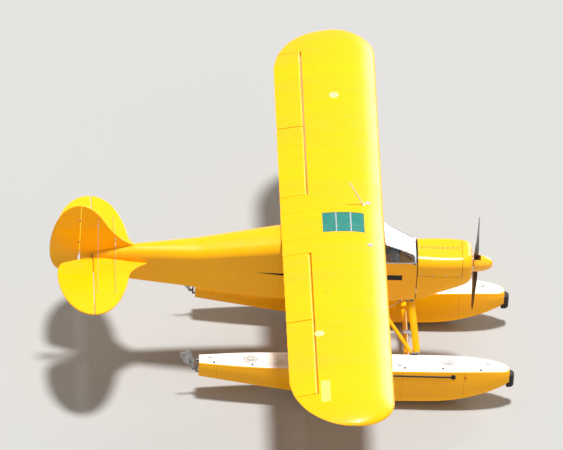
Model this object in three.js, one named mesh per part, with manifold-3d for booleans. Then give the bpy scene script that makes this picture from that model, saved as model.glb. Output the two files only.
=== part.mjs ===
// A two-seat high-wing floatplane on twin floats, as an assembly of named solids.
// Millimetres. X points to the nose, Y to the left wing, Z up; Z = 0 is the floor under the float keels.
import * as THREE from "three";
import { mergeVertices } from "three/addons/utils/BufferGeometryUtils.js";
import Module from "manifold-3d";

const wasm = await Module();
wasm.setup();

const DEG = Math.PI / 180;

// Driving dimensions
const FIT = 0.5; // gap between two fixed pieces that meet
const SWING = 8; // gap round a piece that moves
const WING = {
  tip: 5365,
  root: 370,
  lead: 1555,
  trail: -45,
  chordZ: 2385,
  dihedral: 1 * DEG,
  camber: 0.04,
  camberAt: 0.4,
  thickness: 0.12,
  bowTrail: { span: 1200, depth: 960 },
  bowLead: { span: 650, depth: 640 },
};
const CHORD = WING.lead - WING.trail;
const SURFACE_HINGE = 0.76; // share of the chord where ailerons and flaps hinge
const SURFACE_NOSE = 46;
const FLAP = { inner: 790, outer: 2625 };
const AILERON = { inner: 2625, outer: 4640 };

const WALL = 22; // thickness of the covered tube frame
const CABIN = { back: -45, front: 1363, roofZ: 2345, floorZ: 1316 };
const FIREWALL = 2080;
const COWL = { back: 2092, front: 2790, skin: 7, split: 1800, hinge: 17 };
const NOSE_FACE = 2948;
const THRUST_Z = 1830;
const DOORWAY = { back: 450, front: 1255, sill: 1420, split: 1858, head: 2300 };

const TAIL = { plane: 1770, half: 14, elevatorX: -2950, rudderX: -3165, post: -3130 };

const FLOAT = { y: 1060, step: 930, stern: -1250, bow: 3560 };
const BUMPER = { back: 3530, front: 3650, bottom: 300, top: 520, half: 88, bevel: 16 };
const WATER_RUDDER = {
  x: -1283,
  bottom: 385,
  top: 600,
  post: 12,
  pivotX: -1335,
  pivotZ: 432,
  fork: 18,
  length: 350,
  rest: 62 * DEG,
};

const PROPELLER = { x: 3010, radius: 940, hub: 70, turned: 6 * DEG };
const SPINNER = { back: 2968, tip: 3275, radius: 135, skin: 5 };

// Colours as in the photograph; roughness and metalness are those of the real finish.
const finish = (color, roughness, metalness, extra = {}) =>
  new THREE.MeshStandardMaterial({ color, roughness, metalness, ...extra });
const PAINT = finish(0xffd000, 0.35, 0);
const METAL_PAINT = finish(0xffd000, 0.3, 0.2);
const GLASS = finish(0xcfe0e0, 0.08, 0, { transparent: true, opacity: 0.35 });
const TINTED = finish(0x5fa8a0, 0.1, 0, { transparent: true, opacity: 0.5 });
const RUBBER = finish(0x151515, 0.8, 0);
const STEEL = finish(0x8a8d90, 0.45, 0.8);
const DARK = finish(0x2a2a2a, 0.6, 0.1);
const CLOTH = finish(0x3a3c40, 0.9, 0);
const CASTING = finish(0x5b5c5e, 0.6, 0.5);
const BLADE = finish(0x2b2119, 0.4, 0.2);
const WHITE = finish(0xe8e8e4, 0.4, 0);

// Solids: every helper takes and gives closed three.js geometries
function solidOf(geometry) {
  const bare = new THREE.BufferGeometry();
  bare.setAttribute("position", geometry.getAttribute("position"));
  bare.setIndex(geometry.index);
  const merged = mergeVertices(bare, 1e-3);
  return new wasm.Manifold(
    new wasm.Mesh({
      numProp: 3,
      vertProperties: merged.attributes.position.array,
      triVerts: new Uint32Array(merged.index.array),
    }),
  );
}

function geometryOf(solid) {
  const mesh = solid.getMesh();
  const geometry = new THREE.BufferGeometry();
  geometry.setAttribute("position", new THREE.BufferAttribute(mesh.vertProperties, 3));
  geometry.setIndex(new THREE.BufferAttribute(mesh.triVerts, 1));
  return geometry;
}

const join = (...pieces) => geometryOf(pieces.map(solidOf).reduce((all, piece) => all.add(piece)));
const cut = (piece, ...tools) =>
  geometryOf(tools.map(solidOf).reduce((rest, tool) => rest.subtract(tool), solidOf(piece)));
const common = (piece, other) => geometryOf(solidOf(piece).intersect(solidOf(other)));
const moved = (geometry, x, y, z) => geometry.clone().translate(x, y, z);

// Turns the faces round where they point inwards.
function facingOut(geometry) {
  const p = geometry.getAttribute("position");
  const index = geometry.index.array;
  const [a, b, c] = [new THREE.Vector3(), new THREE.Vector3(), new THREE.Vector3()];
  let volume = 0;
  for (let i = 0; i < index.length; i += 3) {
    a.fromBufferAttribute(p, index[i]);
    b.fromBufferAttribute(p, index[i + 1]);
    c.fromBufferAttribute(p, index[i + 2]);
    volume += a.dot(b.cross(c));
  }
  if (volume < 0) {
    for (let i = 0; i < index.length; i += 3) {
      [index[i + 1], index[i + 2]] = [index[i + 2], index[i + 1]];
    }
  }
  return geometry;
}

function mirrored(geometry) {
  const copy = geometry.index ? geometry.clone() : mergeVertices(geometry.clone());
  return facingOut(copy.scale(1, -1, 1));
}

function box(x, y, z) {
  const size = [x, y, z].map(([low, high]) => high - low);
  const middle = [x, y, z].map(([low, high]) => (low + high) / 2);
  return new THREE.BoxGeometry(...size).translate(...middle);
}

// A closed solid through rings of equal length, capped at both ends.
function loft(rings) {
  const count = rings[0].length;
  const middle = (ring) =>
    ring.reduce((sum, p) => sum.add(p), new THREE.Vector3()).divideScalar(count);
  const points = [...rings.flat(), middle(rings[0]), middle(rings.at(-1))];
  const firstCap = points.length - 2;
  const lastCap = points.length - 1;
  const lastRing = (rings.length - 1) * count;
  const faces = [];
  for (let i = 0; i < count; i++) {
    const j = (i + 1) % count;
    for (let r = 0; r < lastRing; r += count) {
      faces.push(r + i, r + j, r + count + j, r + i, r + count + j, r + count + i);
    }
    faces.push(firstCap, j, i, lastCap, lastRing + i, lastRing + j);
  }
  const geometry = new THREE.BufferGeometry().setFromPoints(points);
  geometry.setIndex(faces);
  return facingOut(geometry);
}

// A solid tube or bar between two points: shape is drawn with its first axis fore and aft.
function bar(from, to, shape, segments = 8) {
  const run = new THREE.Vector3().subVectors(to, from);
  const along = run.clone().normalize();
  const reference = Math.abs(along.x) > 0.99 ? new THREE.Vector3(0, 0, 1) : new THREE.Vector3(1, 0, 0);
  const across = new THREE.Vector3().crossVectors(along, reference).normalize();
  const ahead = new THREE.Vector3().crossVectors(across, along);
  const geometry = new THREE.ExtrudeGeometry(shape, {
    depth: run.length(),
    bevelEnabled: false,
    curveSegments: segments,
  });
  return geometry.applyMatrix4(new THREE.Matrix4().makeBasis(ahead, across, along).setPosition(from));
}

const oval = (chord, thick) => new THREE.Shape().absellipse(0, 0, chord / 2, thick / 2, 0, 2 * Math.PI);
const at = (x, y, z) => new THREE.Vector3(x, y, z);

// An outline drawn in side view (x, z), given thickness from y[0] to y[1].
function sidePlate(outline, y, bevel = 0, segments = 6) {
  const drawn = outline instanceof THREE.Shape;
  const shape = drawn ? outline : new THREE.Shape(outline.map(([a, b]) => new THREE.Vector2(a, b)));
  const geometry = new THREE.ExtrudeGeometry(shape, {
    depth: y[1] - y[0] - 2 * bevel,
    bevelEnabled: bevel > 0,
    bevelSize: bevel * 0.999,
    bevelOffset: -bevel * 0.999,
    bevelThickness: bevel,
    bevelSegments: 2,
    curveSegments: segments,
  });
  return geometry.rotateX(Math.PI / 2).translate(0, y[1] - bevel, 0);
}

// The same in plan view (x, y), from z[0] to z[1].
function planPlate(shape, z, bevel = 0, segments = 6) {
  return sidePlate(shape, [0, z[1] - z[0]], bevel, segments).rotateX(-Math.PI / 2).translate(0, 0, z[1]);
}

function rod(radius, from, to, segments = 16) {
  return bar(from, to, oval(2 * radius, 2 * radius), segments / 2);
}

// Fuselage sections from the tail post to the nose: half width w, bottom and top heights,
// bottom corner radius, and the two radii of the top corner
const SECTIONS = [
  { x: -3130, w: 24, bottom: 1510, top: 1800, low: 10, wide: 18, high: 60 },
  { x: -2300, w: 150, bottom: 1445, top: 1990, low: 15, wide: 146, high: 170 },
  { x: -1290, w: 262, bottom: 1400, top: 2100, low: 18, wide: 258, high: 185 },
  { x: -45, w: 360, bottom: 1292, top: 2330, low: 20, wide: 340, high: 210 },
  { x: 450, w: 365, bottom: 1290, top: 2345, low: 20, wide: 20, high: 20 },
  { x: 1363, w: 365, bottom: 1290, top: 2345, low: 20, wide: 20, high: 20 },
  { x: 2080, w: 358, bottom: 1325, top: 2100, low: 60, wide: 180, high: 170 },
  { x: 2430, w: 372, bottom: 1455, top: 2100, low: 110, wide: 170, high: 160 },
  { x: 2790, w: 350, bottom: 1575, top: 2100, low: 140, wide: 165, high: 155 },
  { x: 2870, w: 330, bottom: 1605, top: 2092, low: 150, wide: 170, high: 160 },
  { x: 2920, w: 298, bottom: 1640, top: 2070, low: 150, wide: 175, high: 160 },
  { x: 2948, w: 250, bottom: 1690, top: 2030, low: 130, wide: 170, high: 140 },
];

function corner(y, z, wide, high, from, steps) {
  return Array.from({ length: steps + 1 }, (_, i) => {
    const angle = from + ((Math.PI / 2) * i) / steps;
    return [y + wide * Math.cos(angle), z + high * Math.sin(angle)];
  });
}

// One section grown by an offset, as a ring of points.
function sectionRing(s, offset) {
  const w = s.w + offset;
  const top = s.top + offset;
  const bottom = s.bottom - offset;
  const grow = (r) => Math.max(r + offset, 1);
  const [low, wide, high] = [grow(s.low), grow(s.wide), grow(s.high)];
  const ring = [
    ...corner(w - wide, top - high, wide, high, 0, 6),
    ...corner(wide - w, top - high, wide, high, Math.PI / 2, 6),
    ...corner(low - w, bottom + low, low, low, Math.PI, 3),
    ...corner(w - low, bottom + low, low, low, 1.5 * Math.PI, 3),
  ];
  return ring.map(([y, z]) => at(s.x, y, z));
}

const fuselage = (offset, sections = SECTIONS) => loft(sections.map((s) => sectionRing(s, offset)));
const shell = (outer, inner) => cut(fuselage(outer), fuselage(inner));
const FAR = 9000;
const slice = (geometry, x, y = [-FAR, FAR], z = [-FAR, FAR]) => common(geometry, box(x, y, z));

const nodes = [];
const add = (name, geometry, material, parent = null) => nodes.push({ name, geometry, material, parent });
// Adds a piece drawn on the left, and its mirror image on the right.
function addPair(name, geometry, material) {
  add(name + "_left", geometry, material);
  add(name + "_right", mirrored(geometry), material);
}

// Aft fuselage: fabric over a tube frame, closed, so it is one solid
const tailCone = slice(fuselage(0), [TAIL.post, CABIN.back - FIT]);
add("fuselage_tail", tailCone, PAINT);

// Cabin: two covered side frames with the windows and the doorway cut, and the floor
const roundedBox = (x0, x1, z0, z1, r) => {
  const shape = new THREE.Shape();
  shape.moveTo(x0 + r, z0).lineTo(x1 - r, z0).absarc(x1 - r, z0 + r, r, -Math.PI / 2, 0);
  shape.lineTo(x1, z1 - r).absarc(x1 - r, z1 - r, r, 0, Math.PI / 2);
  shape.lineTo(x0 + r, z1).absarc(x0 + r, z1 - r, r, Math.PI / 2, Math.PI);
  shape.lineTo(x0, z0 + r).absarc(x0 + r, z0 + r, r, Math.PI, 1.5 * Math.PI);
  return shape;
};
const REAR_WINDOW = [
  [90, 1960],
  [405, 1905],
  [405, 2275],
  [160, 2235],
];
const shrunk = (outline, by) => {
  const middle = (axis) => outline.reduce((sum, point) => sum + point[axis], 0) / outline.length;
  const [midX, midZ] = [middle(0), middle(1)];
  return outline.map(([x, z]) => [x - Math.sign(x - midX) * by, z - Math.sign(z - midZ) * by]);
};
const through = [0, 500];
const sideWindow = (grow) => roundedBox(560 - grow, 1290 + grow, 1880 - grow, 2285 + grow, 40);
const doorway = (grow) =>
  roundedBox(DOORWAY.back - grow, DOORWAY.front + grow, DOORWAY.sill - grow, DOORWAY.head + grow, 45);

const cabinShell = shell(0, -WALL);
const overhead = box([480, 1363], [-300, 300], [2200, 2400]);
const halfCabin = cut(
  slice(cabinShell, [CABIN.back, CABIN.front - FIT], [FIT / 2, FAR], [CABIN.floorZ + FIT, FAR]),
  overhead,
  sidePlate(REAR_WINDOW, through),
);
add("cabin_wall_left", cut(halfCabin, sidePlate(sideWindow(0), through)), PAINT);
add("cabin_wall_right", mirrored(cut(halfCabin, sidePlate(doorway(0), through))), PAINT);
const floorPan = slice(cabinShell, [CABIN.back, CABIN.front - FIT], [-FAR, FAR], [0, CABIN.floorZ]);
add("cabin_floor", floorPan, PAINT);

const paneShell = shell(-7, -12);
const pane = (outline) => common(paneShell, sidePlate(outline, through));
addPair("window_rear", pane(shrunk(REAR_WINDOW, 2)), GLASS);
add("window_left", pane(sideWindow(-2)), GLASS);

// Clamshell door in the right side: the lower half hinges at its foot, the upper half at its head
const doorPanel = common(slice(cabinShell, [0, CABIN.front], [0, FAR]), sidePlate(doorway(-6), through));
const DOOR_FRAME = { side: 60, low: 55, high: 60, r: 30 };
function doorWindow(grow) {
  const { back, front, split, head } = DOORWAY;
  const { side, low, high, r } = DOOR_FRAME;
  return roundedBox(back + side - grow, front - side + grow, split + low - grow, head - high + grow, r);
}
const halfGap = 4;
const lowerHalf = slice(doorPanel, [0, FAR], [0, FAR], [0, DOORWAY.split - halfGap]);
const upperHalf = slice(doorPanel, [0, FAR], [0, FAR], [DOORWAY.split + halfGap, FAR]);
add("door_lower", mirrored(lowerHalf), PAINT);
add("door_upper", mirrored(cut(upperHalf, sidePlate(doorWindow(0), through))), PAINT);
add("door_window", mirrored(pane(doorWindow(-2))), GLASS);

// Boot cowl: the sheet metal skin from the door posts to the firewall, open on top for the windshield
const SILL_Z = 2030;
add("boot_cowl", slice(cabinShell, [CABIN.front, FIREWALL - FIT], [-FAR, FAR], [0, SILL_Z]), METAL_PAINT);
add("firewall", slice(fuselage(-FIT - COWL.skin), [FIREWALL, FIREWALL + 6]), STEEL);

// Windshield: one wrapped sheet from the boot cowl up to the wing, with its side quarters
const SHIELD = [
  { x: 1364, w: 364, bottom: 1900, top: 2344, low: 5, wide: 30, high: 30 },
  { x: 1535, w: 363, bottom: 1900, top: 2344, low: 5, wide: 60, high: 50 },
  { x: 1700, w: 361, bottom: 1900, top: 2268, low: 5, wide: 120, high: 80 },
  { x: 1880, w: 357, bottom: 1900, top: 2180, low: 5, wide: 150, high: 100 },
  { x: 2060, w: 345, bottom: 1900, top: 2092, low: 5, wide: 170, high: 60 },
];
const shieldInner = SHIELD.map((s) => ({ ...s, top: s.top - 1 }));
const shieldSolid = cut(fuselage(0, SHIELD), slice(fuselage(-5, shieldInner), [1300, 2054]));
const sheet = cut(
  slice(shieldSolid, [1364.5, 2060], [-FAR, FAR], [SILL_Z + FIT, FAR]),
  box([1300, 1366], [-340, 340], [SILL_Z, 2338]),
);
add("windshield", sheet, GLASS);

// Cabin roof between the wing roots, with the skylight opening
const PROFILE_STEPS = 16;
const camberLine = (x) => {
  const { camber: m, camberAt: p } = WING;
  const rise = 2 * p * x - x * x;
  return x < p ? (m / p ** 2) * rise : (m / (1 - p) ** 2) * (1 - 2 * p + rise);
};
const halfThickness = (x) => {
  const tapering = 0.126 * x + 0.3516 * x ** 2 - 0.2843 * x ** 3 + 0.1015 * x ** 4;
  return 5 * WING.thickness * (0.2969 * Math.sqrt(x) - tapering);
};
// Points of the wing section from the trailing edge over the top and back below, as shares of the chord.
const PROFILE = [];
for (let i = -PROFILE_STEPS; i <= PROFILE_STEPS; i++) {
  const x = (1 - Math.cos((Math.PI * i) / PROFILE_STEPS)) / 2;
  PROFILE.push([x, camberLine(x) - Math.sign(i) * halfThickness(x)]);
}
const wingRing = (y, lead, trail, thin = 1) =>
  PROFILE.map(([x, z]) => at(lead - x * (lead - trail), y, WING.chordZ + thin * z * (lead - trail)));

const ROOF_BOTTOM = CABIN.roofZ + FIT;
const SKYLIGHT = { back: 575, front: 1255, half: 275, r: 30, below: 6, thick: 6 };
const SPAR_ROOF = 30;
const ROOF_HALF = 340; // half width of the hollow under the roof
const wingSlab = (half, lead, trail) => loft([wingRing(-half, lead, trail), wingRing(half, lead, trail)]);
const roofProfile = wingSlab(WING.root, WING.lead, WING.trail);
const roofLower = join(roofProfile, box([-30, 1530], [-WING.root, WING.root], [ROOF_BOTTOM, WING.chordZ]));
const hollowUnder = join(
  moved(wingSlab(ROOF_HALF, WING.lead - 60, 100), 0, 0, -SPAR_ROOF),
  box([140, 1480], [-ROOF_HALF, ROOF_HALF], [ROOF_BOTTOM - 50, WING.chordZ]),
);
function skylightHole(grow) {
  const { back, front, half, r } = SKYLIGHT;
  return planPlate(roundedBox(back - grow, front + grow, -half - grow, half + grow, r), [2300, 2700]);
}
const belowRoof = box([-100, 1600], [-400, 400], [2200, ROOF_BOTTOM]);
add("cabin_roof", cut(roofLower, belowRoof, hollowUnder, skylightHole(0)), PAINT);
const skylightSheet = cut(
  moved(roofProfile, 0, 0, -SKYLIGHT.below),
  moved(roofProfile, 0, 0, -SKYLIGHT.below - SKYLIGHT.thick),
  box([-100, 1600], [-400, 400], [2300, 2480]),
);
add("skylight", common(skylightSheet, skylightHole(-2)), TINTED);

// Nose: firewall forward, with the engine as one plain block on its crankshaft
const EXHAUST = { top: at(2400, 60, 1610), end: at(2240, 60, 1300), radius: 34, way: 60 };
const engine = join(
  box([2120, 2700], [-190, 190], [1690, 1960]), // crankcase with the magnetos and tank behind
  box([2200, 2620], [-320, 320], [1760, 1880]), // cylinders
  box([2250, 2560], [-110, 110], [1590, 1700]), // sump
  rod(45, at(2690, 0, THRUST_Z), at(2985, 0, THRUST_Z)),
  rod(EXHAUST.radius, EXHAUST.top, EXHAUST.end),
);
add("engine_block", engine, CASTING);

const cowlShell = shell(0, -COWL.skin);
const cowlRing = slice(cowlShell, [COWL.back, COWL.front - FIT]);
const exhaustWay = rod(EXHAUST.way, EXHAUST.top, EXHAUST.end);
const airOutlet = box([2000, 2190], [-170, 170], [1200, 1420]);
const cowlBottom = slice(cowlRing, [COWL.back, COWL.front], [-FAR, FAR], [0, COWL.split]);
add("cowl_lower", cut(cowlBottom, exhaustWay, airOutlet), METAL_PAINT);
addPair(
  "cowl_door",
  slice(cowlRing, [COWL.back + 4, COWL.front - 6], [COWL.hinge + 4, FAR], [COWL.split + 6, FAR]),
  METAL_PAINT,
);
// The nose bowl carries the strip that both cowl doors hinge on. It has a face with two cooling inlets.
const INLET = { out: 152, above: 10, radius: 58 };
const CRANK_WAY = 80;
function fuselageNose() {
  const outer = slice(fuselage(0), [COWL.front, NOSE_FACE]);
  const inner = slice(fuselage(-COWL.skin), [COWL.front - 1, NOSE_FACE - COWL.skin]);
  const z = THRUST_Z + INLET.above;
  const inlet = (y) => rod(INLET.radius, at(NOSE_FACE - 100, y, z), at(NOSE_FACE + 50, y, z), 20);
  return cut(outer, inner, inlet(INLET.out), inlet(-INLET.out));
}
const hingeStripSides = [5 - COWL.hinge, COWL.hinge - 5];
const hingeStrip = slice(cowlShell, [COWL.back, COWL.front + 1], hingeStripSides, [1900, FAR]);
const bowl = cut(
  join(fuselageNose(), hingeStrip),
  rod(CRANK_WAY, at(NOSE_FACE - 50, 0, THRUST_Z), at(NOSE_FACE + 50, 0, THRUST_Z)),
);
add("nose_bowl", bowl, METAL_PAINT);

// Propeller: two twisted blades on a hub, with the radius, chord, thickness and pitch of each section
const BLADE_SECTIONS = [
  { r: 50, chord: 70, thick: 50, pitch: 50 },
  { r: 160, chord: 112, thick: 34, pitch: 42 },
  { r: 350, chord: 140, thick: 20, pitch: 29 },
  { r: 600, chord: 130, thick: 12, pitch: 19 },
  { r: 850, chord: 100, thick: 8, pitch: 14 },
  { r: 925, chord: 66, thick: 6, pitch: 13 },
  { r: PROPELLER.radius, chord: 26, thick: 4, pitch: 13 },
];
function bladeRing({ r, chord, thick, pitch }) {
  const points = new THREE.EllipseCurve(0, 0, chord / 2, thick / 2).getPoints(12).slice(0, 12);
  return points.map((p) => {
    const turned = p.rotateAround(new THREE.Vector2(0, 0), -pitch * DEG);
    return at(PROPELLER.x - turned.y, turned.x, r);
  });
}
const blade = loft(BLADE_SECTIONS.map(bladeRing));
const hub = rod(PROPELLER.hub, at(PROPELLER.x - 20, 0, 0), at(PROPELLER.x + 40, 0, 0));
const onShaft = (geometry) => geometry.rotateX(PROPELLER.turned).translate(0, 0, THRUST_Z);
add("propeller", onShaft(join(hub, blade, blade.clone().rotateX(Math.PI))), BLADE);

function dome(radius, back, tip) {
  const steps = 8;
  const profile = [new THREE.Vector2(0, back)];
  for (let i = 0; i < steps; i++) {
    const angle = (i / steps) * (Math.PI / 2);
    profile.push(new THREE.Vector2(radius * Math.cos(angle) ** 0.8, back + (tip - back) * Math.sin(angle)));
  }
  profile.push(new THREE.Vector2(0, tip));
  return new THREE.LatheGeometry(profile, 24).rotateZ(-Math.PI / 2);
}
const BLADE_SLOT = { half: 66, front: 3082 };
const bladeSlotSides = [-BLADE_SLOT.half, BLADE_SLOT.half];
const bladeSlots = box([SPINNER.back - 60, BLADE_SLOT.front], bladeSlotSides, [-300, 300]);
const spinner = cut(
  dome(SPINNER.radius, SPINNER.back, SPINNER.tip),
  dome(SPINNER.radius - SPINNER.skin, SPINNER.back - 5, SPINNER.tip - SPINNER.skin),
  bladeSlots,
);
add("spinner", onShaft(spinner), METAL_PAINT);

// Inside the cabin: panel, two seats on their frames, and the two sticks on their torque tube
add(
  "instrument_panel",
  join(
    slice(fuselage(-WALL - 6), [1795, 1807], [-330, 330], [1850, 2020]),
    box([1680, 1800], [-300, 300], [2022, 2034]),
    box([1795, 1807], [-300, 300], [2010, 2030]),
  ),
  DARK,
);
// Seat by seat: back face and top of the cushion
const SEATS = [
  { name: "front_seat", x: 700, z: 1620, width: 400, back: 560 },
  { name: "rear_seat", x: 20, z: 1590, width: 460, back: 500 },
];
const LEAN = 8 * DEG;
const CUSHION = { back: 90, front: 490, thick: 90, backThick: 80 };
const SEAT_LEG = { back: 120, front: 460, in: 20, half: 11 };
const SEAT_PAN = 20;
for (const { name, x, z, width, back } of SEATS) {
  const half = width / 2;
  const under = z - CUSHION.thick;
  const base = box([x + CUSHION.back, x + CUSHION.front], [-half, half], [under, z]);
  const upright = box([0, CUSHION.backThick], [-half, half], [0, back]);
  const rest = upright.rotateY(-LEAN).translate(x + 85, 0, under);
  add(name, join(base, rest), CLOTH);
  const frameTop = under - FIT;
  const legs = [];
  for (const legX of [x + SEAT_LEG.back, x + SEAT_LEG.front]) {
    for (const legY of [SEAT_LEG.in - half, half - SEAT_LEG.in]) {
      const alongX = [legX - SEAT_LEG.half, legX + SEAT_LEG.half];
      const alongY = [legY - SEAT_LEG.half, legY + SEAT_LEG.half];
      legs.push(box(alongX, alongY, [CABIN.floorZ + FIT, frameTop - 10]));
    }
  }
  const panEnds = [x + CUSHION.back + 5, x + CUSHION.front - 5];
  const pan = box(panEnds, [-half, half], [frameTop - SEAT_PAN, frameTop]);
  add(name + "_frame", join(pan, ...legs), STEEL);
}
const STICK_Z = 1350;
add(
  "control_sticks",
  join(
    rod(14, at(420, 0, STICK_Z), at(1460, 0, STICK_Z), 10),
    rod(12, at(1420, 0, STICK_Z), at(1380, 0, STICK_Z + 430), 10),
    rod(12, at(600, 0, STICK_Z), at(590, 0, STICK_Z + 330), 10),
  ),
  STEEL,
);

// Wings: drawn level at the root, then turned up by the dihedral in a group
const WING_SIDES = { left: new THREE.Group(), right: new THREE.Group() };
const ROOT_GAP = 4; // the root rib leans inwards with the dihedral
const wingRings = [wingRing(WING.root + ROOT_GAP, WING.lead, WING.trail)];
const BOW_STEPS = 12;
for (let i = 0; i <= BOW_STEPS; i++) {
  const angle = (i / BOW_STEPS) * 80 * DEG;
  const y = WING.tip - WING.bowTrail.span * (1 - Math.sin(angle));
  const share = Math.max(0, (y - (WING.tip - WING.bowLead.span)) / WING.bowLead.span);
  const trail = WING.trail + WING.bowTrail.depth * (1 - Math.cos(angle));
  const lead = WING.lead - WING.bowLead.depth * (1 - Math.sqrt(1 - share * share));
  wingRings.push(wingRing(y, lead, trail));
}
const tipMiddle = WING.lead - WING.bowLead.depth;
wingRings.push(wingRing(WING.tip, tipMiddle + 90, tipMiddle - 90, 0.5));
const wingBlank = loft(wingRings);

const hingeX = WING.lead - SURFACE_HINGE * CHORD;
const hingeZ = WING.chordZ + camberLine(SURFACE_HINGE) * CHORD;
const coveX = hingeX + SURFACE_NOSE + SWING;
const cove = box([-FAR, coveX], [FLAP.inner, AILERON.outer], [2000, 3000]);
function surface({ inner, outer }) {
  const ends = [inner + SWING, outer - SWING];
  const plate = common(wingBlank, box([-FAR, hingeX], ends, [2000, 3000]));
  return join(plate, rod(SURFACE_NOSE, at(hingeX, ends[0], hingeZ), at(hingeX, ends[1], hingeZ), 20));
}
const wing = cut(wingBlank, cove);
const wingPieces = { wing, aileron: surface(AILERON), flap: surface(FLAP) };
for (const [name, geometry] of Object.entries(wingPieces)) {
  add(name + "_left", geometry, PAINT, WING_SIDES.left);
  add(name + "_right", mirrored(geometry), PAINT, WING_SIDES.right);
}
const turnUp = new THREE.Matrix4()
  .makeTranslation(0, WING.root, WING.chordZ)
  .multiply(new THREE.Matrix4().makeRotationX(WING.dihedral))
  .multiply(new THREE.Matrix4().makeTranslation(0, -WING.root, -WING.chordZ));
const wingInPlace = wing.clone().applyMatrix4(turnUp);

// Lift struts: streamlined tubes from the lower longeron to the two spars
const underWing = moved(wingInPlace, 0, 0, -FIT);
const skinOutside = fuselage(FIT);
// Fore and aft place at the longeron and at the wing, distance out, chord and thickness
const LIFT_STRUTS = [
  { name: "lift_strut_front", low: 1620, high: 1270, out: 2560, chord: 76, thick: 34 },
  { name: "lift_strut_rear", low: 1532, high: 445, out: 2500, chord: 60, thick: 30 },
];
for (const { name, low, high, out, chord, thick } of LIFT_STRUTS) {
  const strut = bar(at(low, 350, 1325), at(high, out, 2420), oval(chord, thick), 6);
  addPair(name, cut(strut, underWing, skinOutside), METAL_PAINT);
}

// Tail: flat fabric-covered frames with rounded outlines
const tailOutline = new THREE.Shape();
tailOutline.moveTo(-2080, 60).lineTo(-2095, 195);
tailOutline.quadraticCurveTo(-2330, 330, -2375, 520);
tailOutline.bezierCurveTo(-2440, 1050, -2620, 1600, -2950, 1600);
tailOutline.bezierCurveTo(-3275, 1600, -3490, 1050, -3490, 560);
tailOutline.quadraticCurveTo(-3490, 300, -3410, 240).lineTo(-2990, 66);
tailOutline.lineTo(-2990, 60);
const { plane, half, elevatorX, rudderX } = TAIL;
const tailFlat = planPlate(tailOutline, [plane - half, plane + half], 10, 8);
const ROOT_CLEAR = 3; // the fuselage side curves, and its two sides are faceted differently
addPair("stabilizer", cut(slice(tailFlat, [elevatorX + half + SWING, 0]), fuselage(ROOT_CLEAR)), PAINT);
const elevatorInner = 70;
addPair(
  "elevator",
  join(
    slice(tailFlat, [-FAR, elevatorX], [elevatorInner, FAR]),
    rod(half - 1, at(elevatorX, elevatorInner, plane), at(elevatorX, 1560, plane), 12),
  ),
  PAINT,
);

const finOutline = new THREE.Shape();
finOutline.moveTo(-2290, 1900).lineTo(-2290, 1985).quadraticCurveTo(-2560, 2090, -2760, 2380);
finOutline.quadraticCurveTo(-2960, 2700, -3165, 2700).quadraticCurveTo(-3400, 2700, -3525, 2380);
finOutline.quadraticCurveTo(-3610, 2170, -3610, 1900).quadraticCurveTo(-3600, 1500, -3380, 1480);
finOutline.lineTo(-3165, 1480).lineTo(-3165, 1700).lineTo(-2600, 1800);
const finFlat = sidePlate(finOutline, [-half, half], 10, 8);
add("fin", cut(slice(finFlat, [rudderX + half + SWING, 0]), skinOutside), PAINT);
add(
  "rudder",
  join(slice(finFlat, [-FAR, rudderX]), rod(half - 1, at(rudderX, 0, 1490), at(rudderX, 0, 2680), 12)),
  PAINT,
);

// Floats: forebody and afterbody lofts that meet at the step.
// Heights of the keel, chine and deck, and half widths at the chine and the deck
const FOREBODY = [
  { x: FLOAT.step, keel: 0, chine: 150, deck: 640, beam: 310, top: 240 },
  { x: 1700, keel: 0, chine: 150, deck: 648, beam: 310, top: 240 },
  { x: 2450, keel: 0, chine: 168, deck: 656, beam: 306, top: 236 },
  { x: 2700, keel: 18, chine: 192, deck: 658, beam: 296, top: 230 },
  { x: 2900, keel: 50, chine: 228, deck: 656, beam: 280, top: 218 },
  { x: 3100, keel: 102, chine: 276, deck: 650, beam: 252, top: 199 },
  { x: 3280, keel: 168, chine: 326, deck: 638, beam: 216, top: 173 },
  { x: 3440, keel: 246, chine: 374, deck: 618, beam: 164, top: 136 },
  { x: FLOAT.bow, keel: 322, chine: 416, deck: 592, beam: 104, top: 88 },
];
const AFTERBODY = [
  { x: FLOAT.stern, keel: 335, chine: 400, deck: 622, beam: 135, top: 120 },
  { x: -500, keel: 245, chine: 345, deck: 630, beam: 235, top: 200 },
  { x: 250, keel: 150, chine: 270, deck: 636, beam: 292, top: 230 },
  { x: FLOAT.step + 10, keel: 66, chine: 205, deck: 639, beam: 309, top: 239 },
];
function floatRing({ x, keel, chine, deck, beam, top }) {
  const edge = Math.min(30, top / 3);
  const side = [
    [beam, chine],
    [(beam + top) / 2 + 6, (chine + deck) / 2],
    [top, deck - edge],
    [top - edge, deck],
  ];
  const ring = [[0, keel], ...side, [0, deck + 8], ...side.toReversed().map(([y, z]) => [-y, z])];
  return ring.map(([y, z]) => at(x, FLOAT.y + y, z));
}
const sternLugs = [WATER_RUDDER.bottom - 12, WATER_RUDDER.top + 2].map((z) =>
  box([WATER_RUDDER.x - 14, FLOAT.stern + 30], [FLOAT.y - 20, FLOAT.y + 20], [z, z + 10]),
);
const floatHull = join(loft(FOREBODY.map(floatRing)), loft(AFTERBODY.map(floatRing)));
addPair("float", join(floatHull, ...sternLugs), METAL_PAINT);

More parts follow.
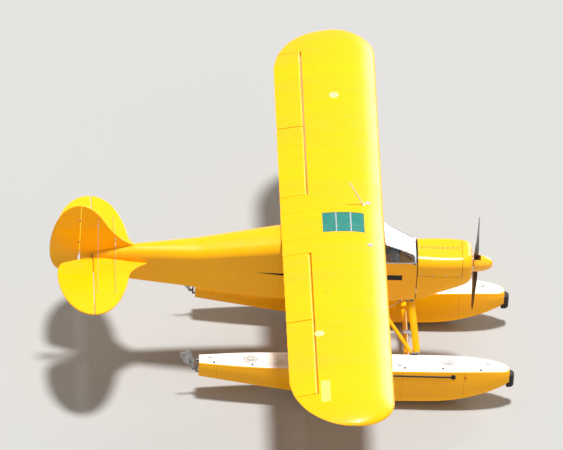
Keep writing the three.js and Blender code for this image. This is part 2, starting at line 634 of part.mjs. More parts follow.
const bumperShape = new THREE.Shape();
const shoulder = BUMPER.front - 60;
bumperShape.moveTo(BUMPER.back, -BUMPER.half).lineTo(shoulder, -BUMPER.half);
bumperShape.quadraticCurveTo(BUMPER.front, -BUMPER.half * 0.75, BUMPER.front, 0);
bumperShape.quadraticCurveTo(BUMPER.front, BUMPER.half * 0.75, shoulder, BUMPER.half);
bumperShape.lineTo(BUMPER.back, BUMPER.half);
const bumper = planPlate(bumperShape, [BUMPER.bottom, BUMPER.top], BUMPER.bevel, 6);
const hullClear = [moved(floatHull, FIT, 0, 0), moved(floatHull, FIT, 0, FIT)];
addPair("bumper", cut(moved(bumper, 0, FLOAT.y, 0), ...hullClear), RUBBER);

// Water rudders: a steering post at each stern, and a blade that swings up behind it
const { x: postX, pivotX, pivotZ, fork, length: bladeEnd } = WATER_RUDDER;
const forkHeight = [pivotZ - fork, pivotZ + fork];
const cheek = (y0, y1) => box([pivotX - fork, postX], [FLOAT.y + y0, FLOAT.y + y1], forkHeight);
const post = join(
  rod(WATER_RUDDER.post, at(postX, FLOAT.y, WATER_RUDDER.bottom), at(postX, FLOAT.y, WATER_RUDDER.top), 12),
  cheek(7, 14),
  cheek(-14, -7),
  box([postX - 14, postX], [FLOAT.y - 14, FLOAT.y + 14], forkHeight),
);
addPair("water_rudder_post", post, STEEL);
const bladeOutline = new THREE.Shape();
bladeOutline.moveTo(-16, -14).quadraticCurveTo(60, -20, 120, -82).lineTo(300, -100);
bladeOutline.quadraticCurveTo(bladeEnd, -95, bladeEnd, -50);
bladeOutline.lineTo(bladeEnd, 50).quadraticCurveTo(bladeEnd, 78, 320, 80).lineTo(170, 76);
bladeOutline.quadraticCurveTo(110, 30, -16, 14);
const waterBlade = sidePlate(bladeOutline, [-5, 5], 0, 5)
  .rotateY(Math.PI + WATER_RUDDER.rest)
  .translate(pivotX, FLOAT.y, pivotZ);
addPair("water_rudder_blade", waterBlade, STEEL);

// Float rigging: spreader bars between the floats, and the struts up to the fuselage
const bothFloats = [floatHull, mirrored(floatHull)];
const SPREADERS = { spreader_front: 1990, spreader_rear: 240 };
for (const [name, x] of Object.entries(SPREADERS)) {
  const spreader = bar(at(x, -900, 530), at(x, 900, 530), oval(80, 36), 6);
  const clear = bothFloats.flatMap((hull, i) => [hull, moved(hull, 0, i ? FIT : -FIT, 0)]);
  add(name, cut(spreader, ...clear), METAL_PAINT);
}
const deckCut = moved(floatHull, 0, 0, FIT);
const frontStruts = join(
  bar(at(2022, 330, 1345), at(2145, 865, 600), oval(110, 42), 6),
  bar(at(1470, 345, 1312), at(2115, 868, 600), oval(56, 30), 6),
);
addPair("float_strut_front", cut(frontStruts, deckCut, skinOutside), METAL_PAINT);
const rearStrut = bar(at(300, 335, 1330), at(240, 865, 600), oval(90, 40), 6);
addPair("float_strut_rear", cut(rearStrut, deckCut, skinOutside), METAL_PAINT);

// Whip antenna on the left wing root
const antennaFoot = at(1245, 500, 2512);
const antennaBase = rod(30, antennaFoot, at(1245, 500, 2538), 12);
const whip = rod(12, antennaFoot, at(1010, 500, 2925), 8);
add("antenna", cut(join(whip, antennaBase), moved(wingInPlace, 0, 0, FIT)), WHITE);

// The assembly
const floatplane = new THREE.Group();
for (const [side, sign] of [
  ["left", 1],
  ["right", -1],
]) {
  const group = WING_SIDES[side];
  const foot = new THREE.Group();
  foot.position.set(0, sign * WING.root, WING.chordZ);
  foot.rotation.x = sign * WING.dihedral;
  group.position.set(0, -sign * WING.root, -WING.chordZ);
  foot.add(group);
  floatplane.add(foot);
}
for (const { name, geometry, material, parent } of nodes) {
  const mesh = new THREE.Mesh(geometry, material);
  mesh.name = name;
  (parent ?? floatplane).add(mesh);
}

export default floatplane;
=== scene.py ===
import math

import bpy
from mathutils import Matrix, Vector


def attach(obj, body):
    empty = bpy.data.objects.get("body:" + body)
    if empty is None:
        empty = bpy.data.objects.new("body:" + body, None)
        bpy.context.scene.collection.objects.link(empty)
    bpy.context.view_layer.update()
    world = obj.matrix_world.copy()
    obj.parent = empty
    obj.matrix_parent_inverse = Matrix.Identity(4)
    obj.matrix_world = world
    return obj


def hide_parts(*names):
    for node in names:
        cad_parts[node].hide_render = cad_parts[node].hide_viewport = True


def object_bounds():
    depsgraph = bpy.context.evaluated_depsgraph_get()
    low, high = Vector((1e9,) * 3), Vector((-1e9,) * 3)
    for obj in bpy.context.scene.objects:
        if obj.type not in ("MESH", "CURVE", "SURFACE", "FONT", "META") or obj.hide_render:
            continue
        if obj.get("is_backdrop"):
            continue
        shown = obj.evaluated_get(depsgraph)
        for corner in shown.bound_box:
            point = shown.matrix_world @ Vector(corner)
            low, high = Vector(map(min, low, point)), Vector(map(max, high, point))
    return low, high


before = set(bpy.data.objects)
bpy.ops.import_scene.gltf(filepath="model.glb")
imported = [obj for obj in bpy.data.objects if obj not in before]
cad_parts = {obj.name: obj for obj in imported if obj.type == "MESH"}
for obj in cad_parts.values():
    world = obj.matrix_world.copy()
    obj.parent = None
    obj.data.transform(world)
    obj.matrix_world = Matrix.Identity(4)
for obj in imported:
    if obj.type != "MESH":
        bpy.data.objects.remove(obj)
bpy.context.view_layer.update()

# Camera, at the photograph's viewing angle: high above the right side and rolled a little.
# The lens is long, as it was there, and the frame is closed in on the aircraft.
camera_right = Vector((0.998, -0.029, 0.055)).normalized()
camera_back = camera_right.cross(Vector((-0.030, 0.571, 0.8205))).normalized()
camera_up = camera_back.cross(camera_right)
camera_distance = 300
pixels_per_metre = 64.6
picture_width = 563
picture_middle = Vector((-0.041, 0, 2.444))
camera_data = bpy.data.cameras.new("camera")
camera_data.sensor_width = 36
camera_data.lens = pixels_per_metre * camera_distance * camera_data.sensor_width / picture_width
camera_data.clip_end = 2000
camera = bpy.data.objects.new("camera", camera_data)
camera.matrix_world = Matrix((camera_right, camera_up, camera_back)).transposed().to_4x4()
camera.location = picture_middle + camera_back * camera_distance
bpy.context.scene.collection.objects.link(camera)
bpy.context.scene.camera = camera

# Stage: a plain pale floor under the float keels, a high sun, a soft sky, and a wide pale reflector
# low on the left of the nose. As in the photograph, the upright sides are the shaded ones, the decks
# are lit, and the wing's front edge and the windshield carry a white glare.
bpy.ops.object.select_all(action="DESELECT")
bpy.ops.mesh.primitive_plane_add(size=400, location=(0, 0, -0.003))
floor = bpy.context.object
floor.name = "stage_floor"
floor_paint = bpy.data.materials.new("stage_floor")
floor_paint.use_nodes = True
floor_shader = floor_paint.node_tree.nodes["Principled BSDF"]
floor_shader.inputs["Base Color"].default_value = (0.38, 0.38, 0.37, 1)
floor_shader.inputs["Roughness"].default_value = 0.9
floor.data.materials.append(floor_paint)
floor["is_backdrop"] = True
# Each light: the way to it, its strength, its width in degrees, and how warm or neutral (1) it is
for name, towards, strength, width, warmth in (
    ("sun", (0.06, 0.11, 0.99), 4.6, 8, 1.0),
    ("soft_reflector", (0.50, 0.82, 0.27), 1.3, 26, 1.0),
    ("right_fill", (0.55, -0.80, 0.35), 0.7, 60, 0.45),
):
    light_data = bpy.data.lights.new(name, "SUN")
    light_data.energy = strength
    light_data.color = (1, (1 + warmth) / 2, warmth)
    light_data.angle = math.radians(width)
    light = bpy.data.objects.new(name, light_data)
    light.rotation_euler = Vector(towards).to_track_quat("Z", "Y").to_euler()
    bpy.context.scene.collection.objects.link(light)
sky = bpy.data.worlds.new("sky")
sky.use_nodes = True
sky.node_tree.nodes["Background"].inputs["Color"].default_value = (0.84, 0.86, 0.89, 1)
sky.node_tree.nodes["Background"].inputs["Strength"].default_value = 0.40
bpy.context.scene.world = sky
bpy.context.scene.view_settings.view_transform = "Standard"

# Aft fuselage: a welded tube frame under doped fabric, painted yellow.
# The cloth is pulled over stringers, so it is a little hollow between them.
AIRFRAME = "airframe"
TAIL_POST = -3.13
CABIN_BACK = -0.045
# Fore and aft place, half width, bottom, top, bottom corner radius, and the top corner's two radii
SECTIONS = (
    (-3.13, 0.024, 1.510, 1.800, 0.010, 0.018, 0.060),
    (-2.30, 0.150, 1.445, 1.990, 0.015, 0.146, 0.170),
    (-1.29, 0.262, 1.400, 2.100, 0.018, 0.258, 0.185),
    (-0.045, 0.360, 1.292, 2.330, 0.020, 0.340, 0.210),
    (0.45, 0.365, 1.290, 2.345, 0.020, 0.020, 0.020),
    (1.363, 0.365, 1.290, 2.345, 0.020, 0.020, 0.020),
    (2.08, 0.358, 1.325, 2.100, 0.060, 0.180, 0.170),
    (2.43, 0.372, 1.455, 2.100, 0.110, 0.170, 0.160),
    (2.79, 0.350, 1.575, 2.100, 0.140, 0.165, 0.155),
    (2.87, 0.330, 1.605, 2.092, 0.150, 0.170, 0.160),
    (2.92, 0.298, 1.640, 2.070, 0.150, 0.175, 0.160),
    (2.948, 0.250, 1.690, 2.030, 0.130, 0.170, 0.140),
)
SIDE_STEPS, CORNER_STEPS, TOP_STEPS, BOTTOM_STEPS, FOOT_STEPS = 24, 12, 8, 16, 4


def between(table, x, smooth=False):
    """The row of a table of stations at x: straight between its rows, or on a smooth curve through them."""
    last = len(table) - 1
    i = next((k for k in range(last - 1) if x <= table[k + 1][0]), last - 1)
    low, high = table[i], table[i + 1]
    run = high[0] - low[0]
    t = (x - low[0]) / run
    if not smooth:
        return [a + t * (b - a) for a, b in zip(low, high)][1:]

    def rise(k, column):
        return (table[k + 1][column] - table[k][column]) / (table[k + 1][0] - table[k][0])

    def slope(k, column):
        if k in (0, last):
            return rise(min(k, last - 1), column)
        before, after = rise(k - 1, column), rise(k, column)
        return 0 if before * after <= 0 else 2 * before * after / (before + after)

    values = []
    for column in range(1, len(low)):
        a, b = low[column], high[column]
        m, n = slope(i, column) * run, slope(i + 1, column) * run
        values.append((2 * t**3 - 3 * t**2) * (a - b) + a + (t**3 - 2 * t**2 + t) * m + (t**3 - t**2) * n)
    return values


def steps(start, stop, count):
    """Count + 1 even steps from start to stop."""
    return [start + (stop - start) * i / count for i in range(count + 1)]


def arc(y, z, wide, high, start, stop, count):
    """Points on a round or oval arc about (y, z), between two angles in degrees."""
    angles = steps(math.radians(start), math.radians(stop), count)
    return [(y + wide * math.cos(a), z + high * math.sin(a)) for a in angles]


def circle(radius, sides=14, y=0, z=0):
    return arc(y, z, radius, radius, 0, 360, sides)[:-1]


def other_side(points):
    """The same (y, z) points on the other side, in reverse."""
    return [(-y, z) for y, z in reversed(points)]


def hull_ring(x, grow=0.0, smooth=False):
    """One fuselage section as (y, z) points, from the left foot up over the top and back below."""
    w, bottom, top, low, wide, high = between(SECTIONS, x, smooth)
    w, bottom, top = w + grow, bottom - grow, top + grow
    low, wide, high = (max(r + grow, 0.001) for r in (low, wide, high))
    half = [(w, z) for z in steps(bottom + low, top - high, SIDE_STEPS)]
    half += arc(w - wide, top - high, wide, high, 0, 90, CORNER_STEPS)[1:]
    across = [(y, top) for y in steps(w - wide, wide - w, TOP_STEPS)[1:-1]]
    foot = arc(w - low, bottom + low, low, low, -90, 0, FOOT_STEPS)[:-1]
    below = [(y, bottom) for y in steps(low - w, w - low, BOTTOM_STEPS)[1:-1]]
    return half + across + other_side(half) + other_side(foot) + below + foot


def hull_rings(places, grow=0.0, smooth=False):
    """Fuselage sections at fore and aft places, as (x, y, z) points."""
    return [[(x, y, z) for y, z in hull_ring(x, grow, smooth)] for x in places]


def take(piece):
    """Leaves one object selected and active, in object mode."""
    bpy.ops.object.select_all(action="DESELECT")
    piece.select_set(True)
    bpy.context.view_layer.objects.active = piece
    return piece


def called(name):
    """Names what an add operator has just made, with its place put into its mesh."""
    piece = bpy.context.object
    piece.name = piece.data.name = name
    bpy.ops.object.transform_apply(location=True, rotation=True, scale=True)
    return piece


def edit(piece, *operations):
    """Runs edit mode operators on the whole mesh of a piece, each with its settings."""
    take(piece)
    bpy.ops.object.mode_set(mode="EDIT")
    for operator, settings in operations:
        bpy.ops.mesh.select_all(action="SELECT")
        operator(**settings)
    bpy.ops.object.mode_set(mode="OBJECT")
    return piece


def skin(name, rings, capped=True):
    """A sheet laid over rings of points: a flat grid whose rows take the rings' places, sewn and capped."""
    rows = [[*ring, ring[0]] for ring in rings]
    bpy.ops.object.select_all(action="DESELECT")
    bpy.ops.mesh.primitive_grid_add(x_subdivisions=len(rows[0]) - 1, y_subdivisions=len(rows) - 1, size=1)
    piece = called(name)
    piece.data.vertices.foreach_set("co", [c for row in rows for point in row for c in point])
    edit(piece, (bpy.ops.mesh.remove_doubles, {"threshold": 1e-5}))
    if capped:
        edit(piece, (bpy.ops.mesh.fill_holes, {"sides": 0}))
    return edit(piece, (bpy.ops.mesh.normals_make_consistent, {"inside": False}))


def dress(piece, material, body=AIRFRAME, replaces="", angle=30, slot=None):
    """Gives a finished piece its material, smooth faces up to an angle and its body, and hides the CAD
    node that it stands for. The slot is not used."""
    if not piece.data.materials:
        piece.data.materials.append(material)
    take(piece)
    bpy.ops.object.shade_smooth_by_angle(angle=math.radians(angle))
    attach(piece, body)
    if replaces:
        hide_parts(replaces)
    return piece


def node(tree, kind, inputs=None, **settings):
    """Adds a shader node, with its settings, and its inputs set or linked."""
    made = tree.nodes.new("ShaderNode" + kind)
    for setting, value in settings.items():
        setattr(made, setting, value)
    for socket, value in (inputs or {}).items():
        if isinstance(value, bpy.types.NodeSocket):
            tree.links.new(value, made.inputs[socket])
        else:
            made.inputs[socket].default_value = value
    return made


def calc(tree, operation, *values):
    """One step of a shader's sums."""
    return node(tree, "Math", dict(enumerate(values)), operation=operation).outputs[0]


def ramp(tree, value, low, high, start=0.0, stop=1.0):
    """Value carried from low..high to start..stop, held at its ends."""
    ends = {"From Min": low, "From Max": high, "To Min": start, "To Max": stop}
    return node(tree, "MapRange", {"Value": value, **ends}).outputs["Result"]


def mixed(tree, share, a, b, most=1.0):
    """Colour a going over to colour b by a share, of which 1 counts as most."""
    share = ramp(tree, share, 0, 1, 0, most) if most < 1 else share
    return node(tree, "Mix", {0: share, 6: a, 7: b}, data_type="RGBA").outputs[2]


def noise(tree, place, scale, detail=2.0, roughness=0.5):
    """Cloudy noise, about 0.5."""
    inputs = {"Vector": place, "Scale": scale, "Detail": detail, "Roughness": roughness}
    return node(tree, "TexNoise", inputs).outputs[0]


def stretched(tree, place, scale, rotation=(0, 0, 0)):
    """A pattern's place, turned and scaled along each axis."""
    return node(tree, "Mapping", {"Vector": place, "Scale": scale, "Rotation": rotation}).outputs[0]


def from_line(tree, place, start, spacing):
    """How far a place is from the nearest of a row of evenly spaced lines."""
    return calc(tree, "PINGPONG", calc(tree, "SUBTRACT", place, start), calc(tree, "MULTIPLY", spacing, 0.5))


def colour(red, green, blue):
    """A screen colour, 0 to 255, as the shader's own linear values."""
    return (*[(c / 255) ** 2.2 for c in (red, green, blue)], 1)


def effect(name, inputs, outputs):
    """A node group with named inputs, each with its usual value, and named outputs, all plain numbers."""
    tree = bpy.data.node_groups.new(name, "ShaderNodeTree")
    for label, value in inputs.items():
        kind = "NodeSocketFloat" if isinstance(value, float) else "NodeSocketVector"
        tree.interface.new_socket(label, in_out="INPUT", socket_type=kind).default_value = value
    for label in outputs:
        tree.interface.new_socket(label, in_out="OUTPUT", socket_type="NodeSocketFloat")
    return tree, tree.nodes.new("NodeGroupInput").outputs, tree.nodes.new("NodeGroupOutput").inputs


def use(tree, group, **inputs):
    """Places a node group in a material."""
    return node(tree, "Group", inputs, node_tree=group).outputs


def finish(name, slot, **values):
    """A material, with its steady values on the shader's own sockets; an underscore stands for a space.
    The slot is not used. Returns it with its nodes and the place on the surface."""
    made = bpy.data.materials.new(name)
    made.use_nodes = True
    for socket, value in values.items():
        made.node_tree.nodes["Principled BSDF"].inputs[socket.replace("_", " ")].default_value = value
    return made, made.node_tree, node(made.node_tree, "TexCoord").outputs["Object"]


def surface(made, tone, roughness=None, height=None, depth=0.0, **more):
    """Leads what a material's nodes work out to its shader: its colour, its roughness, other values, and a
    height from 0 to 1 that stands out of the surface by a depth in metres."""
    tree = made.node_tree
    shader = tree.nodes["Principled BSDF"].inputs
    for socket, value in {"Base Color": tone, "Roughness": roughness, **more}.items():
        if value is not None:
            tree.links.new(value, shader[socket])
    if height is not None:
        bump = node(tree, "Bump", {"Height": height, "Distance": depth, "Strength": 1.0})
        tree.links.new(bump.outputs["Normal"], shader["Normal"])
    return made


# Weather: slow changes of tone, fine dust, and streaks drawn out along the airflow
weather, given, out = effect("weather", {"Place": (0, 0, 0), "Scale": 1.0, "Amount": 1.0}, ("Tone", "Dust"))
drawn = stretched(weather, given["Place"], (0.35, 1.6, 1.6))
slow = noise(weather, drawn, given["Scale"], 4.0, 0.55)
fine = noise(weather, drawn, 14.0, 6.0, 0.7)
tone = ramp(weather, slow, 0.3, 0.7)
dust = ramp(weather, calc(weather, "MULTIPLY", slow, fine), 0.24, 0.42)
weather.links.new(calc(weather, "MULTIPLY", tone, given["Amount"]), out["Tone"])
weather.links.new(calc(weather, "MULTIPLY", dust, given["Amount"]), out["Dust"])

# Paint film: the low ripple of sprayed paint, for the bump
film, given, out = effect("paint_film", {"Place": (0, 0, 0), "Scale": 260.0}, ("Height",))
film.links.new(noise(film, given["Place"], given["Scale"]), out["Height"])

# Tapes: finishing tape over each rib, with pinked edges and the knots of the rib stitching below it
tape_inputs = {"Along": 0.0, "Cross": 0.0, "Start": 0.0, "Spacing": 0.355, "Width": 0.05}
tapes, given, out = effect("rib_tapes", tape_inputs, ("Mask", "Height"))
from_rib = from_line(tapes, given["Along"], given["Start"], given["Spacing"])
pinked = calc(tapes, "PINGPONG", given["Cross"], 0.004)
edge = calc(tapes, "MULTIPLY_ADD", given["Width"], 0.5, pinked)
tape = ramp(tapes, calc(tapes, "SUBTRACT", edge, from_rib), 0.0, 0.003)
stitch = ramp(tapes, calc(tapes, "PINGPONG", given["Cross"], 0.032), 0.0, 0.007, 1.0, 0.0)
knot = calc(tapes, "MULTIPLY", stitch, ramp(tapes, from_rib, 0.003, 0.009, 1.0, 0.0))
tapes.links.new(tape, out["Mask"])
tapes.links.new(calc(tapes, "MULTIPLY_ADD", tape, 0.6, knot), out["Height"])

YELLOW, YELLOW_AGED, YELLOW_DUST = colour(254, 184, 0), colour(250, 170, 0), colour(214, 172, 70)
BLACK_PAINT = colour(22, 20, 20)
STRIPE = {"z": 1.762, "half": 0.026, "back": -0.42, "taper": 0.55, "front": 1.86}


def striped(tree, axes, paint, half):
    """Paint with the black side stripe over it, half as high as half says along its length."""
    off_line = calc(tree, "ABSOLUTE", calc(tree, "SUBTRACT", axes["Z"], STRIPE["z"]))
    inside = calc(tree, "GREATER_THAN", half, off_line)
    fore = calc(tree, "LESS_THAN", axes["X"], STRIPE["front"])
    return mixed(tree, calc(tree, "MULTIPLY", inside, fore), paint, BLACK_PAINT)


def fabric_finish(
    name, along="Y", cross="X", spacing=0.355, start=0.37, width=0.05,
    side=False, tone=YELLOW, aged=YELLOW_AGED,
):
    """Yellow butyrate dope over fabric with tapes in a row along one axis, and the stripe on a side."""
    steady = {"Specular_IOR_Level": 0.25, "Coat_Weight": 0.12, "Coat_Roughness": 0.2}
    made, tree, place = finish(name, "fabric_cover", **steady)
    axes = node(tree, "SeparateXYZ", {"Vector": place}).outputs
    worn = use(tree, weather, Place=place, Scale=1.1)
    taped = use(tree, tapes, Along=axes[along], Cross=axes[cross], Start=start, Spacing=spacing, Width=width)
    paint = mixed(tree, worn["Tone"], tone, aged, 0.55)
    paint = mixed(tree, taped["Mask"], paint, aged, 0.16)
    paint = mixed(tree, worn["Dust"], paint, YELLOW_DUST, 0.18)
    if side:
        back = STRIPE["back"]
        half = ramp(tree, axes["X"], back, back + STRIPE["taper"], 0.0, STRIPE["half"])
        paint = striped(tree, axes, paint, half)
    ripple = use(tree, film, Place=place, Scale=420.0)["Height"]
    height = calc(tree, "MULTIPLY_ADD", ripple, 0.12, taped["Height"])
    return surface(made, paint, ramp(tree, worn["Dust"], 0, 1, 0.3, 0.5), height, 0.0007)


def sagged(ring, ribs, depth):
    """A ring of (y, z) points drawn in between the stringers that stand at some of its places."""
    count = len(ring)
    moved = list(ring)
    for first, last in zip(ribs, (*ribs[1:], ribs[0] + count)):
        span = math.dist(ring[first % count], ring[last % count])
        for i in range(first + 1, last):
            t = (i - first) / (last - first)
            (y0, z0), (y1, z1) = ring[(i - 1) % count], ring[(i + 1) % count]
            length = math.hypot(y1 - y0, z1 - z0) or 1
            inward = depth * 4 * t * (1 - t) * min(span / 0.25, 1.2)
            y, z = ring[i % count]
            moved[i % count] = (y - inward * (z1 - z0) / length, z + inward * (y1 - y0) / length)
    return moved


# The stringers stand at the ends and the middle of each run of the ring
stringers = [0]
for run in (SIDE_STEPS, CORNER_STEPS, TOP_STEPS, CORNER_STEPS, SIDE_STEPS):
    stringers += [stringers[-1] + run // 2, stringers[-1] + run]
belly = stringers[-1] + FOOT_STEPS
stringers += [belly, belly + BOTTOM_STEPS // 2, belly + BOTTOM_STEPS]
side_tapes = {"along": "X", "cross": "Z", "spacing": 0.62, "start": CABIN_BACK}
fuselage_fabric = fabric_finish("fuselage_fabric", width=0.045, side=True, **side_tapes)
tail_rings = []
for x in steps(TAIL_POST, CABIN_BACK - 0.0005, 60):
    near_post = min(1.0, (x - TAIL_POST) / 0.4)
    tail_rings.append([(x, y, z) for y, z in sagged(hull_ring(x), stringers, 0.004 * near_post)])
dress(skin("aft_fuselage", tail_rings), fuselage_fabric, replaces="fuselage_tail", angle=50)

# Wings: two spars and light metal ribs under fabric, with a sheet leading edge and a round bow at the tip.
# The cloth is stitched to the ribs and hollow between them. The trailing edge wire is pulled into scallops.
WING = {"root": 0.370, "tip": 5.365, "lead": 1.555, "trail": -0.045, "z": 2.385, "dihedral": math.radians(1)}
CHORD = WING["lead"] - WING["trail"]
BOW_TRAIL = {"span": 1.2, "depth": 0.96}
BOW_LEAD = {"span": 0.65, "depth": 0.64}
CAMBER, CAMBER_AT, THICKNESS = 0.04, 0.4, 0.12
RIB_PITCH = 0.355
HINGE_SHARE = 0.76
HINGE_X = WING["lead"] - HINGE_SHARE * CHORD
SURFACE_NOSE = 0.046
SWING = 0.008
FLAP = (0.79, 2.625)
AILERON = (2.625, 4.64)
PROFILE_STEPS = 34
turn_up = Matrix.Translation((0, WING["root"], WING["z"])) @ Matrix.Rotation(WING["dihedral"], 4, "X")
turn_up = turn_up @ Matrix.Translation((0, -WING["root"], -WING["z"]))


def camber_line(x):
    m, p = CAMBER, CAMBER_AT
    if x < p:
        return m / p**2 * (2 * p * x - x * x)
    return m / (1 - p) ** 2 * (1 - 2 * p + 2 * p * x - x * x)


def half_thickness(x):
    curve = 0.2969 * math.sqrt(x) - 0.126 * x - 0.3516 * x**2 + 0.2843 * x**3 - 0.1015 * x**4
    return 5 * THICKNESS * curve


def wing_edges(y):
    """Where the leading and the trailing edge are at a distance from the middle."""
    drawn_in = []
    for bow in (BOW_LEAD, BOW_TRAIL):
        share = min(max((y - WING["tip"]) / bow["span"] + 1, 0), 1)
        drawn_in.append(bow["depth"] * (1 - math.sqrt(1 - share * share)))
    return WING["lead"] - drawn_in[0], WING["trail"] + drawn_in[1]


def hollow(y):
    """How far along y is between two ribs: 0 on a rib, 1 in the middle of a bay."""
    t = ((y - WING["root"]) / RIB_PITCH) % 1
    return 4 * t * (1 - t)


def wing_height(x, side, chord, dip=0.0):
    """Height at a share of the chord, on the upper (1) or lower (-1) side, with the cloth's dip there."""
    cloth = min(max((x - 0.13) / 0.12, 0), 1) * min(max((0.99 - x) / 0.1, 0), 1)
    height = camber_line(x) + side * half_thickness(x)
    return WING["z"] + height * chord - side * cloth * 0.0032 * dip * min(1, chord)


def wing_ring(y, dip):
    """The wing section at y, from the trailing edge over the top to the nose and back below."""
    lead, trail = wing_edges(y)
    chord = lead - trail
    pulled = trail + 0.005 * dip * min(1, chord)
    shares = [(1 - math.cos(angle)) / 2 for angle in steps(math.pi, 0, PROFILE_STEPS)]
    round_nose = [(x, 1) for x in shares] + [(x, -1) for x in reversed(shares[:-1])]
    return [(lead - x * (lead - pulled), y, wing_height(x, side, chord, dip)) for x, side in round_nose]


def span_stations(low, high):
    """Stations along the span: on every rib and six between, and both ends."""
    bay = RIB_PITCH / 7
    first = math.ceil((low - WING["root"]) / bay - 1e-6)
    last = math.floor((high - WING["root"]) / bay + 1e-6)
    inner = [WING["root"] + bay * i for i in range(first, last + 1)]
    return [low, *[y for y in inner if low + 0.003 < y < high - 0.003], high]


def carve(piece, tool, operation="DIFFERENCE"):
    """Cuts a piece by a tool, joins it to it, or keeps what both fill; the tool is used up."""
    take(piece)
    change = piece.modifiers.new("carve", "BOOLEAN")
    change.operation = operation
    change.solver = "EXACT"
    change.object = tool
    bpy.ops.object.modifier_apply(modifier=change.name)
    bpy.data.objects.remove(tool)
    return piece


def block(name, corner, opposite, bevel=0.0, segments=2, at=(0, 0, 0)):
    """A block between two opposite corners, measured from a point, with its edges rounded."""
    low, high = (Vector(at) + Vector(map(end, corner, opposite)) for end in (min, max))
    bpy.ops.object.select_all(action="DESELECT")
    bpy.ops.mesh.primitive_cube_add(size=1, location=(low + high) / 2, scale=high - low)
    piece = called(name)
    if bevel:
        edit(piece, (bpy.ops.mesh.bevel, {"offset": bevel, "segments": segments, "affect": "EDGES"}))
    return piece


def twin(piece, name):
    """A copy of a piece, with its own mesh."""
    copy = piece.copy()
    copy.data = piece.data.copy()
    copy.name = copy.data.name = name
    bpy.context.scene.collection.objects.link(copy)
    return copy


def both_sides(piece, material, body=AIRFRAME, replaces="", **dressing):
    """Dresses a left-hand piece and its mirror image; left in any name becomes right on the other side."""
    other = twin(piece, piece.name.replace("left", "right"))
    other.data.transform(Matrix.Scale(-1, 4, (0, 1, 0)))
    other.data.flip_normals()
    for one, side in ((piece, "left"), (other, "right")):
        stands_for = replaces.replace("left", side)
        dress(one, material, body=body.replace("left", side), replaces=stands_for, **dressing)


wing_fabric = fabric_finish("wing_fabric")
wing_stations = span_stations(WING["root"] + 0.004, WING["tip"] - 0.002)
wing_stations += [WING["tip"] - before for before in (0.045, 0.025, 0.011, 0.005)]
wing = skin("wing_left_cover", [wing_ring(y, hollow(y)) for y in sorted(wing_stations)])
cove_x = HINGE_X + SURFACE_NOSE + SWING
carve(wing, block("cove_cutter", (-1, FLAP[0], 2), (cove_x, AILERON[1], 3)))
wing.data.transform(turn_up)
both_sides(wing, wing_fabric, replaces="wing_left", angle=40)


# Ailerons and flaps: smaller ribbed frames under the same cloth.
# Each turns about a round nose in the wing's cove.
def surface_ring(y):
    """One section of an aileron or flap: the wing's own skin aft of the hinge, closed by the round nose."""
    lead, trail = wing_edges(y)
    pulled = trail + 0.005 * hollow(y)
    places = [pulled, *[max(lead - share * CHORD, pulled) for share in steps(1, HINGE_SHARE, 14)[1:-1]]]
    upper, lower = [], []
    for side, points in ((1, upper), (-1, lower)):
        for x in places:
            share = min((lead - x) / (lead - trail), 1)
            points.append((x, y, wing_height(share, side, lead - trail, hollow(y))))
    hinge_z = WING["z"] + camber_line(HINGE_SHARE) * CHORD
    nose = [(x, y, z) for x, z in arc(HINGE_X, hinge_z, SURFACE_NOSE, SURFACE_NOSE, 90, -90, 12)]
    return upper + nose + lower[::-1]


for name, (inner, outer) in (("aileron_left", AILERON), ("flap_left", FLAP)):
    stations = span_stations(inner + SWING, outer - SWING)
    covered = skin(name + "_cover", [surface_ring(y) for y in stations])
    covered.data.transform(turn_up)
    both_sides(covered, wing_fabric, body=name, replaces=name, angle=40)

# Tail surfaces: flat frames of bent steel tube with light ribs, covered like the wings.
# The stabilizer and fin are fixed and wire braced; the elevators and the rudder hinge on their back tubes.
TAIL_PLANE = 1.770
TAIL_HALF = 0.014
ELEVATOR_X = -2.950
RUDDER_X = -3.165
# Each row draws on from the last point: one point is a straight line, two or three are curves.
TAIL_OUTLINE = (
    ((-2.080, 0.030),),
    ((-2.080, 0.060),),
    ((-2.095, 0.195),),
    ((-2.330, 0.330), (-2.375, 0.520)),
    ((-2.440, 1.050), (-2.620, 1.600), (-2.950, 1.600)),
    ((-3.275, 1.600), (-3.490, 1.050), (-3.490, 0.560)),
    ((-3.490, 0.300), (-3.410, 0.240)),
    ((-2.990, 0.066),),
    ((-2.990, 0.030),),
)
FIN_OUTLINE = (
    ((-2.600, 1.780),),
    ((-2.290, 1.900),),
    ((-2.290, 1.985),),
    ((-2.560, 2.090), (-2.760, 2.380)),
    ((-2.960, 2.700), (-3.165, 2.700)),
    ((-3.400, 2.700), (-3.525, 2.380)),
    ((-3.610, 2.170), (-3.610, 1.900)),
    ((-3.600, 1.500), (-3.380, 1.480)),
    ((-3.165, 1.480),),
    ((-3.165, 1.780),),
)


def curve(controls, t):
    """A point on the curve that a few control points draw."""
    while len(controls) > 1:
        controls = [a.lerp(b, t) for a, b in zip(controls, controls[1:])]
    return controls[0]


def drawn_outline(rows, pieces=24):
    """Points along an outline of straight lines and curves."""
    points = [Vector(rows[0][0])]
    for row in rows[1:]:
        controls = [points[-1], *map(Vector, row)]
        points += [curve(controls, t) for t in steps(0, 1, 1 if len(row) == 1 else pieces)[1:]]
    return points


def reach(points, level):
    """The foremost and the aftmost place where an outline crosses a level of its second axis."""
    found = []
    for a, b in zip(points, [*points[1:], points[0]]):
        if (a.y - level) * (b.y - level) <= 0 and a.y != b.y:
            found.append(a.x + (b.x - a.x) * (level - a.y) / (b.y - a.y))
    return max(found), min(found)


